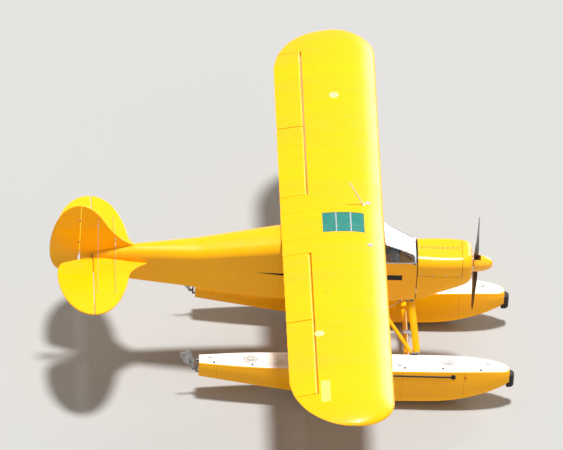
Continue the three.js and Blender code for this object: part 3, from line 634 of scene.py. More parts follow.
def frame_section(front, back, dip):
    """A flat covered frame between two round edge tubes, as (x, height) points, with the cloth's dip."""
    r = min(TAIL_HALF, (front - back) / 2)
    rear = arc(back + r, 0, r, r, -90, -270, 8)
    fore = arc(front - r, 0, r, r, 90, -90, 8)
    flat = []
    for t in steps(0, 1, 12)[1:-1]:
        x = back + r + t * (front - back - 2 * r)
        flat.append((x, r - dip * min(1, 4 * t * (1 - t) * 1.6)))
    return rear + flat + fore + [(x, -z) for x, z in reversed(flat)]


def tail_surface(name, outline, limits, pitch, front=9, back=-9, upright=False):
    """A covered frame between two span limits, cut straight at a hinge where front or back says."""
    points = drawn_outline(outline)
    low, high = limits
    stations = steps(low, high - 0.02, round((high - low) / 0.035))
    stations += [high - 0.013, high - 0.007, high - 0.003]
    rings = []
    for s in stations:
        fore, aft = reach(points, s)
        fore, aft = min(fore, front), max(aft, back)
        if fore - aft < 0.004:
            continue
        t = ((s - low) / pitch) % 1
        section = frame_section(fore, aft, 0.0045 * 4 * t * (1 - t))
        rings.append([(x, z, s) if upright else (x, s, TAIL_PLANE + z) for x, z in section])
    return skin(name, rings)


tail_fabric = fabric_finish("tail_fabric", along="Y", cross="X", spacing=0.30, start=0.07, width=0.038)
fin_fabric = fabric_finish("fin_fabric", along="Z", cross="X", spacing=0.26, start=1.48, width=0.038)
FIXED_EDGE, MOVING_EDGE = TAIL_HALF + SWING, TAIL_HALF - 0.001
hinged = {"back": ELEVATOR_X + FIXED_EDGE}
stabilizer = tail_surface("stabilizer_left_cover", TAIL_OUTLINE, (0.035, 1.6), 0.30, **hinged)
both_sides(stabilizer, tail_fabric, replaces="stabilizer_left", angle=40)
hinged = {"front": ELEVATOR_X + MOVING_EDGE}
elevator = tail_surface("elevator_left_cover", TAIL_OUTLINE, (0.070, 1.6), 0.30, **hinged)
both_sides(elevator, tail_fabric, body="elevators", replaces="elevator_left", angle=40)
hinged = {"back": RUDDER_X + FIXED_EDGE, "upright": True}
fin = tail_surface("fin_cover", FIN_OUTLINE, (1.79, 2.7), 0.26, **hinged)
dress(fin, fin_fabric, replaces="fin", angle=40)
hinged = {"front": RUDDER_X + MOVING_EDGE, "upright": True}
rudder = tail_surface("rudder_cover", FIN_OUTLINE, (1.481, 2.7), 0.26, **hinged)
dress(rudder, fin_fabric, body="rudder", replaces="rudder", angle=40)

# Floats: riveted aluminium hulls with a hard chine, a straight step, and a crowned deck.
# The hull is painted yellow and the deck a pale grey that stays cool underfoot.
FLOAT_Y = 1.060
STEP_X, BOW_X, STERN_X = 0.930, 3.560, -1.250
# Fore and aft place, heights of the keel, the chine and the deck, and half widths at the chine and the deck
FOREBODY = (
    (0.93, 0.000, 0.150, 0.640, 0.310, 0.240),
    (1.70, 0.000, 0.150, 0.648, 0.310, 0.240),
    (2.45, 0.000, 0.168, 0.656, 0.306, 0.236),
    (2.70, 0.018, 0.192, 0.658, 0.296, 0.230),
    (2.90, 0.050, 0.228, 0.656, 0.280, 0.218),
    (3.10, 0.102, 0.276, 0.650, 0.252, 0.199),
    (3.28, 0.168, 0.326, 0.638, 0.216, 0.173),
    (3.44, 0.246, 0.374, 0.618, 0.164, 0.136),
    (3.56, 0.322, 0.416, 0.592, 0.104, 0.088),
)
AFTERBODY = (
    (-1.25, 0.335, 0.400, 0.622, 0.135, 0.120),
    (-0.50, 0.245, 0.345, 0.630, 0.235, 0.200),
    (0.25, 0.150, 0.270, 0.636, 0.292, 0.230),
    (0.93, 0.066, 0.205, 0.639, 0.309, 0.239),
)
BOTTOM_PIECES, SIDE_PIECES, EDGE_PIECES, DECK_PIECES = 8, 8, 5, 6
DECK_EDGE, DECK_CROWN = 0.03, 0.010


def hull_section(table, x):
    """One float section from the keel out to the chine, up the side and in over the deck, then back."""
    keel, chine, deck, beam, top = between(table, x, smooth=True)
    rise = chine - keel
    half = [(0, keel)]
    for t in steps(0, 1, BOTTOM_PIECES)[1:]:
        half.append((beam * t, keel + rise * (t - 0.10 * math.sin(math.pi * t))))
    half += [(beam + 0.007, chine - 0.004), (beam + 0.001, chine + 0.012)]
    edge = min(DECK_EDGE, top / 3)
    start, end = Vector((beam, chine + 0.012)), Vector((top, deck - edge))
    bend = 2 * Vector(((beam + top) / 2 + 0.010, (chine + deck) / 2)) - (start + end) / 2
    half += [tuple(curve((start, bend, end), t)) for t in steps(0, 1, SIDE_PIECES)[1:]]
    half += arc(top - edge, deck - edge, edge, edge, 0, 90, EDGE_PIECES)[1:]
    for t in steps(0, 1, DECK_PIECES)[1:-1]:
        half.append(((top - edge) * (1 - t), deck + DECK_CROWN * (1 - (1 - t) ** 2)))
    return [(x, FLOAT_Y + y, z) for y, z in half + [(0, deck + DECK_CROWN)] + other_side(half[1:])]


# Rivets: rows of low round heads. Run and row are the two ways along the sheet.
rivet_inputs = {"Run": 0.0, "Row": 0.0, "Pitch": 0.03, "Between": 0.3, "Start": 0.0, "Head": 0.0035}
rivets, given, out = effect("rivet_rows", rivet_inputs, ("Head",))
along_row = from_line(rivets, given["Run"], 0.0, given["Pitch"])
off_row = from_line(rivets, given["Row"], given["Start"], given["Between"])
squares = [calc(rivets, "MULTIPLY", off, off) for off in (along_row, off_row)]
within = calc(rivets, "DIVIDE", calc(rivets, "SQRT", calc(rivets, "ADD", *squares)), given["Head"])
rivets.links.new(ramp(rivets, within, 0.55, 1.0, 1.0, 0.0), out["Head"])

# Sheet seams: the narrow dark lap where one sheet ends on the next
seam_inputs = {"Row": 0.0, "Between": 0.6, "Start": 0.0, "Width": 0.003}
seams, given, out = effect("sheet_seams", seam_inputs, ("Line",))
off_seam = from_line(seams, given["Row"], given["Start"], given["Between"])
seams.links.new(ramp(seams, calc(seams, "DIVIDE", off_seam, given["Width"]), 0.3, 1.0, 1.0, 0.0), out["Line"])

# Chips: where paint is knocked off to bare metal, more of it where it is more worn
chips, given, out = effect("chips", {"Place": (0, 0, 0), "Scale": 18.0, "Worn": 0.2}, ("Bare",))
spots = noise(chips, given["Place"], given["Scale"], 8.0, 0.72)
chips.links.new(ramp(chips, calc(chips, "MULTIPLY_ADD", given["Worn"], 0.35, spots), 0.70, 0.74), out["Bare"])
BARE_METAL = colour(176, 178, 180)


def rippled(tree, place, scale, heads):
    """The height of paint over rivet heads."""
    return calc(tree, "MULTIPLY_ADD", use(tree, film, Place=place, Scale=scale)["Height"], 0.12, heads)


def hull_finish(name, paint, aged, deck=False):
    """Marine enamel over riveted sheet: seams and rivets show through, and the low parts are rubbed."""
    steady = {"Specular_IOR_Level": 0.25, "Coat_Weight": 0.16, "Coat_Roughness": 0.15}
    made, tree, place = finish(name, "painted_aluminium", **steady)
    axes = node(tree, "SeparateXYZ", {"Vector": place}).outputs
    worn = use(tree, weather, Place=place, Scale=1.7)
    if deck:
        run, row, chipped = axes["Y"], calc(tree, "ABSOLUTE", axes["Y"]), 0.08
        spacing, first = 0.39, FLOAT_Y
    else:
        run, row, chipped = axes["Z"], axes["Z"], ramp(tree, axes["Z"], 0.24, 0.02, 0.0, 0.62)
        spacing, first = 0.234, 0.135
    across = use(tree, rivets, Run=run, Row=axes["X"], Pitch=0.028, Between=0.32, Start=STEP_X)
    lengthwise = use(tree, rivets, Run=axes["X"], Row=row, Pitch=0.028, Between=spacing, Start=first)
    heads = calc(tree, "MAXIMUM", across["Head"], lengthwise["Head"])
    lap = use(tree, seams, Row=axes["X"], Between=0.96, Start=STEP_X + 0.012)["Line"]
    bare = use(tree, chips, Place=place, Scale=11.0, Worn=chipped)["Bare"]
    tone = mixed(tree, worn["Tone"], paint, aged, 0.6)
    tone = mixed(tree, lap, tone, colour(90, 62, 10), 0.5)
    tone = mixed(tree, worn["Dust"], tone, YELLOW_DUST, 0.22)
    tone = mixed(tree, bare, tone, BARE_METAL)
    height = calc(tree, "SUBTRACT", rippled(tree, place, 150.0, heads), calc(tree, "MULTIPLY", lap, 0.6))
    metal = calc(tree, "MULTIPLY", bare, 0.9)
    return surface(made, tone, ramp(tree, worn["Dust"], 0, 1, 0.25, 0.48), height, 0.0012, Metallic=metal)


hull_yellow = hull_finish("float_hull_enamel", YELLOW, YELLOW_AGED)
deck_pale = hull_finish("float_deck_enamel", colour(244, 238, 234), colour(222, 216, 208), deck=True)
float_rings = [hull_section(AFTERBODY, x) for x in steps(STERN_X, STEP_X, 26)]
float_rings += [hull_section(FOREBODY, x) for x in steps(STEP_X, 2.9, 18) + steps(2.9, BOW_X, 16)[1:]]
bow = float_rings[-1]
bow_keel, _, bow_deck = FOREBODY[-1][1:4]
mid = (bow_keel + bow_deck) / 2
for share, ahead in ((0.82, 0.012), (0.5, 0.020)):
    ring = []
    for x, y, z in bow:
        ring.append((x + ahead, FLOAT_Y + (y - FLOAT_Y) * share, mid + (z - mid) * share))
    float_rings.append(ring)
hull = skin("float_left_hull", float_rings)
for paint in (hull_yellow, deck_pale):
    hull.data.materials.append(paint)
for face in hull.data.polygons:
    face.material_index = int(face.normal.z > 0.80 and face.center.z > 0.60)
both_sides(hull, hull_yellow, replaces="float_left", angle=38)

# Cabin: the same cloth over the tube frame, flat sided, with the windows and the doorway left open.
# The walls are cut from one drawn skin, and are lined with short grey felt on the inside.
WALL = 0.022
CABIN_FRONT, FLOOR_Z, FIREWALL_X = 1.363, 1.316, 2.080
DOORWAY = {"back": 0.45, "front": 1.255, "sill": 1.42, "split": 1.858, "head": 2.30}
REAR_WINDOW = ((0.090, 1.960), (0.405, 1.905), (0.405, 2.275), (0.160, 2.235))
LEFT_WINDOW = (0.560, 1.290, 1.880, 2.285)
FIT = 0.0005
FAR = 9


def rounded(x0, x1, z0, z1, r, grow=0.0, pieces=5):
    """Outline of a window with round corners, as (x, z) points."""
    points = []
    for x, z, start in ((x1, z0, -90), (x1, z1, 0), (x0, z1, 90), (x0, z0, 180)):
        inwards, downwards = (grow - r) * (1 if x == x1 else -1), (grow - r) * (1 if z == z1 else -1)
        points += arc(x + inwards, z + downwards, r, r, start, start + 90, pieces)
    return points


def grown(points, by):
    """An outline moved outwards by a distance, corner by corner."""
    moved = []
    for i, (x, z) in enumerate(points):
        (x0, z0), (x1, z1) = points[i - 1], points[(i + 1) % len(points)]
        a, b = Vector((x - x0, z - z0)).normalized(), Vector((x1 - x, z1 - z)).normalized()
        out = Vector((a.y + b.y, -a.x - b.x)).normalized()
        moved.append((x + out.x * by, z + out.y * by))
    return moved


def eased(before, corner, after, radius, pieces):
    """Points on the curve that takes a corner off."""
    before, corner, after = Vector(before), Vector(corner), Vector(after)
    start, end = (corner + (far - corner).normalized() * radius for far in (before, after))
    return [curve((start, corner, end), t) for t in steps(0, 1, pieces)]


def soft_corners(points, r, pieces=4):
    """The same outline with its corners cut round."""
    after = (*points[1:], points[0])
    corners = zip((points[-1], *points), points, after)
    return [tuple(point) for corner in corners for point in eased(*corner, r, pieces)]


def side_plate(name, outline, *ends):
    """A flat plate drawn in side view and given its thickness across."""
    return skin(name, [[(x, y, z) for x, z in outline] for y in sorted(ends)])


def hull_shell(name, x0, x1, thick, smooth=False, pieces=12):
    """A stretch of the fuselage skin with its thickness inwards, open at both ends."""
    outer = skin(name, hull_rings(steps(x0, x1, pieces), 0, smooth))
    return carve(outer, skin("inner_cutter", hull_rings(steps(x0 - 0.01, x1 + 0.01, pieces), -thick, smooth)))


felt = {"Sheen_Weight": 0.4, "Sheen_Roughness": 0.6, "Roughness": 0.95}
cabin_felt, tree, place = finish("cabin_felt", "fabric_cover", **felt)
FELT = colour(92, 90, 84)
pile = noise(tree, place, 420.0, 3.0)
tone = mixed(tree, ramp(tree, noise(tree, place, 5.0, 3.0), 0.35, 0.65), FELT, colour(112, 108, 98))
surface(cabin_felt, mixed(tree, ramp(tree, pile, 0.3, 0.7, 0.0, 0.5), tone, FELT), height=pile, depth=0.0006)
cabin_fabric = fabric_finish("cabin_fabric", side=True, **side_tapes)


def lined(piece):
    """Cloth outside, and felt on the faces that look inwards."""
    for material in (cabin_fabric, cabin_felt):
        piece.data.materials.append(material)
    for face in piece.data.polygons:
        inwards = face.normal.y * face.center.y < -0.001 * abs(face.normal.y)
        overhead = face.normal.z < -0.9 and face.center.z > 2.2
        face.material_index = int(abs(face.normal.x) < 0.5 and (inwards or overhead))


left_wall = hull_shell("cabin_left_wall", CABIN_BACK, CABIN_FRONT - FIT, WALL)
doorway = [DOORWAY[edge] for edge in ("back", "front", "sill", "head")]
for wall, side, sign, outline in (
    (left_wall, "left", 1, rounded(*LEFT_WINDOW, 0.040)),
    (twin(left_wall, "cabin_right_wall"), "right", -1, rounded(*doorway, 0.045)),
):
    carve(wall, block("half_keeper", (-1, sign * FIT / 2, FLOOR_Z + FIT), (2, sign * FAR, 3)), "INTERSECT")
    carve(wall, block("overhead_cutter", (0.48, -0.30, 2.2), (CABIN_FRONT, 0.30, 2.4)))
    carve(wall, side_plate("rear_window_cutter", soft_corners(REAR_WINDOW, 0.03), 0.05 * sign, sign))
    carve(wall, side_plate("opening_cutter", outline, 0.05 * sign, sign))
    lined(wall)
    dress(wall, cabin_fabric, replaces=f"cabin_wall_{side}")

# Floor: birch plywood boards on the lower frame, varnished, and worn pale where feet rub. The belly cloth
# is below them.
floor_board, tree, place = finish("floor_board", "floor_board", Coat_Weight=0.2, Coat_Roughness=0.3)
ply = {"Vector": stretched(tree, place, (1.2, 22.0, 1.0)), "Scale": 1.5, "Distortion": 6.0, "Detail": 3.0}
grain = node(tree, "TexWave", ply).outputs["Fac"]
scuff = noise(tree, place, 7.0, 6.0)
tone = mixed(tree, grain, colour(150, 108, 62), colour(122, 84, 46))
tone = mixed(tree, ramp(tree, scuff, 0.48, 0.7, 0.0, 0.6), tone, colour(176, 150, 110))
surface(floor_board, tone, ramp(tree, scuff, 0.3, 0.7, 0.35, 0.7), grain, 0.0003)
belly = hull_shell("belly_cover", CABIN_BACK, CABIN_FRONT - FIT, WALL)
carve(belly, block("belly_keeper", (-1, -FAR, 0), (2, FAR, FLOOR_Z)), "INTERSECT")
dress(belly, cabin_fabric, replaces="cabin_floor")


def joined(name, pieces):
    """Makes several finished meshes one piece."""
    take(pieces[0])
    for piece in pieces[1:]:
        piece.select_set(True)
    if len(pieces) > 1:
        bpy.ops.object.join()
    whole = bpy.context.object
    whole.name = whole.data.name = name
    return whole


boards = []
for x0, x1 in ((-0.03, 0.55), (0.554, 1.12), (1.124, 1.345)):
    boards.append(block("board", (x0, -0.325, FLOOR_Z - 0.004), (x1, 0.325, FLOOR_Z + 0.0035), 0.002))
dress(joined("floor_boards", boards), floor_board)

# Wing carry-through: the roof between the wing roots, of the wings' own section, under the same cloth.
# It is hollow, with an opening for the skylight.
ROOF_BOTTOM = 2.3455
SKYLIGHT = {"back": 0.575, "front": 1.255, "half": 0.275}
ROOT = WING["root"]
roof = skin("cabin_roof_cover", [wing_ring(y, 0) for y in steps(-ROOT, ROOT, 6)])
carve(roof, block("roof_filler", (-0.03, -ROOT, ROOF_BOTTOM), (1.53, ROOT, WING["z"])), "UNION")
carve(roof, block("below_roof_cutter", (-1, -1, 2.2), (2, 1, ROOF_BOTTOM)))
hollow_rings = [[(x, y, z - 0.03) for x, y, z in wing_ring(end, 0)] for end in (-0.34, 0.34)]
hollow_roof = skin("roof_hollow_cutter", hollow_rings)
carve(hollow_roof, block("hollow_keeper", (0.14, -1, 2), (1.48, 1, 3)), "INTERSECT")
carve(hollow_roof, block("hollow_filler", (0.14, -0.34, 2.29), (1.48, 0.34, WING["z"])), "UNION")
carve(roof, hollow_roof)
skylight_outline = rounded(SKYLIGHT["back"], SKYLIGHT["front"], -SKYLIGHT["half"], SKYLIGHT["half"], 0.03)
carve(roof, skin("skylight_cutter", [[(x, y, z) for x, y in skylight_outline] for z in (2.3, 2.7)]))
roof_fabric = fabric_finish("roof_fabric", start=0.3525)
dress(roof, roof_fabric, replaces="cabin_roof", angle=40)


def top_height(x, lift=0.0):
    """Height of the wing's upper skin at the root, at a fore and aft place."""
    share = (WING["lead"] - x) / CHORD
    return WING["z"] + (camber_line(share) + half_thickness(share)) * CHORD + lift


# Skylight: one tinted acrylic sheet bent to the roof, over its opening.
# A painted aluminium border and two bare cross straps hold it down.
def glass_finish(name, slot, tint, density=1.0, roughness=0.02, transmission=1.0, cloud=1.0):
    """Clear or tinted acrylic: mostly transparent, glossy, with dust and fine wiping marks."""
    made, tree, place = finish(name, slot, Transmission_Weight=transmission, IOR=1.49)
    marks = noise(tree, stretched(tree, place, (60.0, 8.0, 14.0), (0.4, 0.3, 0.7)), 3.0, 3.0)
    dusty = ramp(tree, noise(tree, place, 9.0, 8.0, 0.75), 0.45, 0.75, 0.0, cloud)
    haze = calc(tree, "MULTIPLY", dusty, ramp(tree, marks, 0.4, 0.7))
    alpha = ramp(tree, haze, 0.0, 1.0, density, min(1.0, density + 0.2))
    tone = mixed(tree, haze, tint, colour(196, 200, 196))
    return surface(made, tone, ramp(tree, haze, 0.0, 1.0, roughness, 0.25), Alpha=alpha)


skylight_glass = glass_finish("skylight_glass", "tinted_glass", colour(50, 134, 122), 0.78, 0.05, 0.0, 0.3)
window_glass = glass_finish("window_glass", "clear_glass", colour(226, 236, 236))
shield_glass = glass_finish("windshield_glass", "clear_glass", colour(236, 240, 244))
sheet_half = SKYLIGHT["half"] + 0.012
sheet_corners = ((-1, -0.003), (1, -0.003), (1, -0.007), (-1, -0.007))
sheet_rings = []
for x in steps(SKYLIGHT["back"] - 0.012, SKYLIGHT["front"] + 0.012, 24):
    sheet_rings.append([(x, side * sheet_half, top_height(x, lift)) for side, lift in sheet_corners])
dress(skin("skylight_sheet", sheet_rings), skylight_glass, replaces="skylight", angle=40)


def metal_finish(name, slot, tone, darker, roughness=0.3):
    """Bare metal with a drawn or rolled grain and dull spots."""
    made, tree, place = finish(name, slot, Metallic=1.0)
    grain = noise(tree, stretched(tree, place, (1.0, 1.0, 30.0)), 40.0, 4.0, 0.6)
    spots = noise(tree, place, 12.0, 6.0, 0.7)
    rough = calc(tree, "MULTIPLY_ADD", grain, 0.2, ramp(tree, spots, 0.3, 0.7, roughness, roughness + 0.2))
    return surface(made, mixed(tree, ramp(tree, spots, 0.42, 0.68), tone, darker), rough, grain, 0.00015)


bright = (colour(206, 208, 210), colour(168, 170, 172))
bare_aluminium = metal_finish("bare_aluminium", "bare_aluminium", *bright)
dull_steel = metal_finish("dull_steel", "steel", colour(150, 152, 156), colour(104, 102, 100), 0.38)


def roof_strip(name, start, end, width, lift=0.0016):
    """A thin strip bent to the roof along its outer edge, from one (x, y) to another."""
    start, end = Vector(start), Vector(end)
    along = (end - start).normalized()
    side = Vector((-along.y, along.x)) * width / 2
    rings = []
    for t in steps(0, 1, 24 if abs(end.x - start.x) > 0.1 else 2):
        left, right = start.lerp(end, t) + side, start.lerp(end, t) - side
        corners = ((left, lift), (right, lift), (right, -0.004), (left, -0.004))
        rings.append([(*point, top_height(point.x, height)) for point, height in corners])
    return edit(skin(name, rings), (bpy.ops.mesh.bevel, {"offset": 0.0006, "segments": 1, "affect": "EDGES"}))


back, front, half = SKYLIGHT["back"], SKYLIGHT["front"], SKYLIGHT["half"]
border = []
for y in (half + 0.004, -half - 0.004):
    border.append(roof_strip("strip", (back - 0.010, y), (front + 0.010, y), 0.030))
border += [roof_strip("strip", (x, -half), (x, half), 0.030, 0.0022) for x in (back, front)]
dress(joined("skylight_border", border), roof_fabric, slot="painted_aluminium")
straps = [roof_strip("strip", (x, -half), (x, half), 0.020) for x in steps(back, front, 3)[1:-1]]
dress(joined("skylight_straps", straps), bare_aluminium)

# Windows: clear acrylic panes set in a groove behind the cloth.
# Each is held by a thin aluminium frame screwed to the wall.
PANE_IN, PANE_THICK = 0.0085, 0.0025
FRAME_STANDS, FRAME_THICK = 0.0015, 0.0035


def skin_band(name, outline, outward, thick, sign, x0=0.04, x1=CABIN_FRONT):
    """A piece of sheet that follows the cabin side inside an outline; outward is how far it stands out."""
    places = steps(x0, x1, 8)
    sheet = skin(name, hull_rings(places, outward))
    carve(sheet, skin("inner_cutter", hull_rings((x0 - 0.01, *places, x1 + 0.01), outward - thick)))
    return carve(sheet, side_plate("outline_keeper", outline, 0.2 * sign, sign), "INTERSECT")


def lathe(name, profile, centre=(0, 0, 0), axis=(1, 0, 0), sides=24):
    """A turned piece: its profile is pairs of distance along the axis and radius."""
    axis = Vector(axis).normalized()
    side = axis.orthogonal().normalized()
    other = axis.cross(side)
    rings = []
    for along, radius in profile:
        middle = Vector(centre) + axis * along
        rings.append([tuple(middle + (side * u + other * v) * radius) for u, v in circle(1, sides)])
    return skin(name, rings)


def pin(name, radius, start, stop, centre=(0, 0, 0), axis=(1, 0, 0), sides=12):
    """A plain round pin between two distances along its axis."""
    return lathe(name, ((start, 0), (start, radius), (stop, radius), (stop, 0)), centre, axis, sides)


def screws(name, places, radius=0.0045, height=0.0018):
    """Round screw heads standing on a surface, at (point, outward direction) places."""
    profile = ((-0.001, radius), (height * 0.35, radius), (height * 0.85, radius * 0.6), (height, 0))
    pattern = lathe("screw_pattern", profile, axis=(0, 0, 1), sides=10)
    copies = []
    for point, direction in places:
        turn = Vector((0, 0, 1)).rotation_difference(Vector(direction)).to_matrix().to_4x4()
        copies.append(twin(pattern, name))
        copies[-1].data.transform(Matrix.Translation(point) @ turn)
    bpy.data.objects.remove(pattern)
    return joined(name, copies)


def side_screws(outline, sign, spacing=0.075):
    """Screws round an outline on the cabin side."""
    places = []
    length = 0
    for a, b in zip(outline, [*outline[1:], outline[0]]):
        run = math.dist(a, b)
        while length < run:
            x, z = (p + (q - p) * length / run for p, q in zip(a, b))
            places.append(((x, sign * (between(SECTIONS, x)[0] + 0.0014), z), (0, sign, 0)))
            length += spacing
        length -= run
    return screws("side_screws", places)


def glazed(name, frame_name, outline, sign, stands_for, body=AIRFRAME, width=0.016):
    """A pane, and the flat metal frame that is screwed down round it, just over the opening's edge."""
    pane = skin_band(name, grown(outline, -0.002), -PANE_IN, PANE_THICK, sign)
    dress(pane, window_glass, body, replaces=stands_for)
    front = CABIN_FRONT + 0.01
    surround = skin_band(frame_name, grown(outline, width), FRAME_STANDS, FRAME_THICK, sign, 0.02, front)
    carve(surround, side_plate("opening_cutter", grown(outline, -0.003), 0.2 * sign, sign))
    heads = side_screws(grown(outline, width / 2 + 0.001), sign)
    dress(joined(frame_name, [surround, heads]), bare_aluminium, body)


rear_outline = soft_corners(REAR_WINDOW, 0.03)
for name, outline, sign, stands_for in (
    ("left_side_window", rounded(*LEFT_WINDOW, 0.040), 1, "window_left"),
    ("rear_window_left", rear_outline, 1, "window_rear_left"),
    ("rear_window_right", rear_outline, -1, "window_rear_right"),
):
    glazed(name, name + "_frame", outline, sign, stands_for)

# Door: two fabric-covered tube frames that open like a shell, the upper one up and the lower one down.
# Each hangs on plain steel hinges, and the lower half has a turned handle.
DOOR_GAP, HALVES_GAP = 0.006, 0.004
SIDE_Y = -0.365
door_outline = rounded(*doorway, 0.045, grow=-DOOR_GAP)
split, head = DOORWAY["split"], DOORWAY["head"]
door_window = rounded(DOORWAY["back"] + 0.060, DOORWAY["front"] - 0.060, split + 0.055, head - 0.060, 0.030)
for name, low, high in (("door_lower", 1.0, split - HALVES_GAP), ("door_upper", split + HALVES_GAP, 3.0)):
    panel = skin_band(name + "_panel", door_outline, 0.0, WALL, -1)
    carve(panel, block("half_keeper", (0, -1, low), (2, 0, high)), "INTERSECT")
    if name == "door_upper":
        carve(panel, side_plate("window_cutter", door_window, -1, -0.2))
    lined(panel)
    dress(panel, cabin_fabric, body=name, replaces=name)
glazed("door_window_pane", "door_window_frame", door_window, -1, "door_window", "door_upper", 0.014)
# Hinges: the height of the pin, the far edge of the door's leaf, and the near and far edge of the wall's leaf
for name, z, door_z, near_z, wall_z in (
    ("door_upper", 2.298, 2.276, 2.299, 2.318),
    ("door_lower", 1.422, 1.444, 1.421, 1.402),
):
    moving, still = [], []
    for x in (0.56, 1.145):
        near, far = (x - 0.03, SIDE_Y - 0.003), (x + 0.03, SIDE_Y - 0.0005)
        moving.append(pin("knuckle", 0.004, -0.035, 0.035, (x, SIDE_Y - 0.004, z)))
        moving.append(block("leaf", (*near, z), (*far, door_z), 0.0008))
        still.append(block("leaf", (*near, near_z), (*far, wall_z), 0.0008))
    dress(joined(name + "_hinges", moving), dull_steel, body=name)
    dress(joined(name + "_hinges_wall", still), dull_steel)
turned = ((0, 0.019), (0.003, 0.019), (0.004, 0.017), (0.004, 0.008), (0.014, 0.007), (0.014, 0))
handle = [lathe("plate", turned, (1.16, SIDE_Y, 1.79), (0, -1, 0), 20)]
handle.append(block("lever", (1.06, SIDE_Y - 0.018, 1.783), (1.168, SIDE_Y - 0.011, 1.797), 0.003))
dress(joined("door_handle", handle), bare_aluminium, body="door_lower")
sill_plate = block("door_sill_plate", (0.47, SIDE_Y - 0.0022, 1.385), (1.235, SIDE_Y - 0.0002, 1.398), 0.0008)
dress(sill_plate, bare_aluminium)

# Boot cowl: painted aluminium sheet riveted over the front frame, from the door posts to the firewall.
# The black stripe of the side runs over it and ends in a broad stroke.
SILL_Z = 2.030


def sheet_finish(name, start, between_rows, broad=None, lacquer=0.2, blur=0.1):
    """Yellow enamel over riveted sheet, glossier than the cloth. Broad gives the stripe's last stroke,
    where it starts and half its height."""
    steady = {"Specular_IOR_Level": 0.25, "Coat_Weight": lacquer, "Coat_Roughness": blur}
    made, tree, place = finish(name, "painted_aluminium", **steady)
    axes = node(tree, "SeparateXYZ", {"Vector": place}).outputs
    worn = use(tree, weather, Place=place, Scale=1.6)
    rows = use(tree, rivets, Run=axes["Z"], Row=axes["X"], Pitch=0.025, Between=between_rows, Start=start)
    bare = use(tree, chips, Place=place, Scale=16.0, Worn=0.05)["Bare"]
    tone = mixed(tree, worn["Tone"], YELLOW, YELLOW_AGED, 0.5)
    tone = mixed(tree, worn["Dust"], tone, YELLOW_DUST, 0.15)
    if broad:
        back, half = broad
        tone = striped(tree, axes, tone, ramp(tree, axes["X"], back, back + 0.14, STRIPE["half"], half))
    tone = mixed(tree, bare, tone, BARE_METAL)
    height = rippled(tree, place, 170.0, rows["Head"])
    metal = calc(tree, "MULTIPLY", bare, 0.9)
    return surface(made, tone, ramp(tree, worn["Dust"], 0, 1, 0.28, 0.46), height, 0.0010, Metallic=metal)


boot_sheet = sheet_finish("boot_cowl_enamel", 1.378, 0.3435, broad=(1.46, 0.046))
boot = hull_shell("boot_cowl_sheet", CABIN_FRONT, FIREWALL_X - FIT, 0.004)
carve(boot, block("boot_keeper", (1, -1, 0), (3, 1, SILL_Z)), "INTERSECT")
dress(boot, boot_sheet, replaces="boot_cowl", angle=40)
longerons = []
for side in (-1, 1):
    for z0, z1 in ((SILL_Z, SILL_Z), (1.335, 1.358)):
        rings = []
        for x, out, z in ((CABIN_FRONT + 0.002, 0.351, z0), (FIREWALL_X - 0.004, 0.342, z1)):
            rings.append([(x, side * y, level) for y, level in circle(0.010, 12, out, z - 0.012)])
        longerons.append(skin("longeron", rings))
dress(joined("boot_cowl_longerons", longerons), dull_steel)


# Firewall: one stainless sheet that closes the cabin off from the engine, riveted to the front frame.
# Pressed beads stiffen it.
def swept(name, path, section, fore=(1, 0, 0)):
    """A section carried along a path: its first measure lies towards fore, its second across. One section
    serves the whole path, or there is one for each of its points."""
    path = [Vector(point) for point in path]
    several = isinstance(section[0][0], (tuple, list))
    rings = []
    for i, point in enumerate(path):
        back = (point - path[i - 1]).normalized() if i else Vector()
        on = (path[i + 1] - point).normalized() if i < len(path) - 1 else Vector()
        along = (back + on).normalized()
        across = along.cross(Vector(fore)).normalized()
        ahead = across.cross(along)
        stretch = 1 / max(0.3, (back if i else on).dot(along))
        points = section[i] if several else section
        rings.append([tuple(point + ahead * u + across * v * stretch) for u, v in points])
    return skin(name, rings)


edge = hull_ring(FIREWALL_X, -0.0075)
beads = [skin("sheet", [[(FIREWALL_X + ahead, *point) for point in edge] for ahead in (0, 0.002)])]
bead = [(v, u) for u, v in arc(0, 0, 0.009, 0.0045, 0, 180, 8)]
for start, end in (
    ((-0.27, 1.42), (0.27, 1.98)),
    ((-0.27, 1.98), (0.27, 1.42)),
    ((-0.32, 1.70), (0.32, 1.70)),
):
    beads.append(swept("bead", [(FIREWALL_X + 0.001, *point) for point in (start, end)], bead))
dress(joined("firewall_sheet", beads), dull_steel, replaces="firewall")

# Windshield: one acrylic sheet bent from the boot cowl to the wing, its side quarters too, with no post.
# A riveted metal strip holds its foot, and two tubes stand behind it as a V.
# Fore and aft place, half width, top, and the top corner's two radii
SHIELD = (
    (1.364, 0.364, 2.344, 0.030, 0.030),
    (1.535, 0.363, 2.344, 0.060, 0.050),
    (1.700, 0.361, 2.268, 0.120, 0.080),
    (1.880, 0.357, 2.180, 0.150, 0.100),
    (2.060, 0.345, 2.092, 0.170, 0.060),
)
STRIP_FOOT = SILL_Z - 0.004


def shield_arch(x, grow, foot):
    """The part of a windshield section above its foot, from left to right, as (y, z) points."""
    w, top, wide, high = (measure + grow for measure in between(SHIELD, x, smooth=True))
    wide, high = max(wide, 0.001), max(high, 0.001)
    half = [(w, z) for z in steps(foot, max(top - high, foot + 0.001), 10)]
    corner = arc(w - wide, top - high, wide, high, 0, 90, CORNER_STEPS)[1:]
    half += [(y, max(z, foot + 0.0012)) for y, z in corner]
    return half + [(y, top) for y in steps(w - wide, wide - w, TOP_STEPS)[1:-1]] + other_side(half)


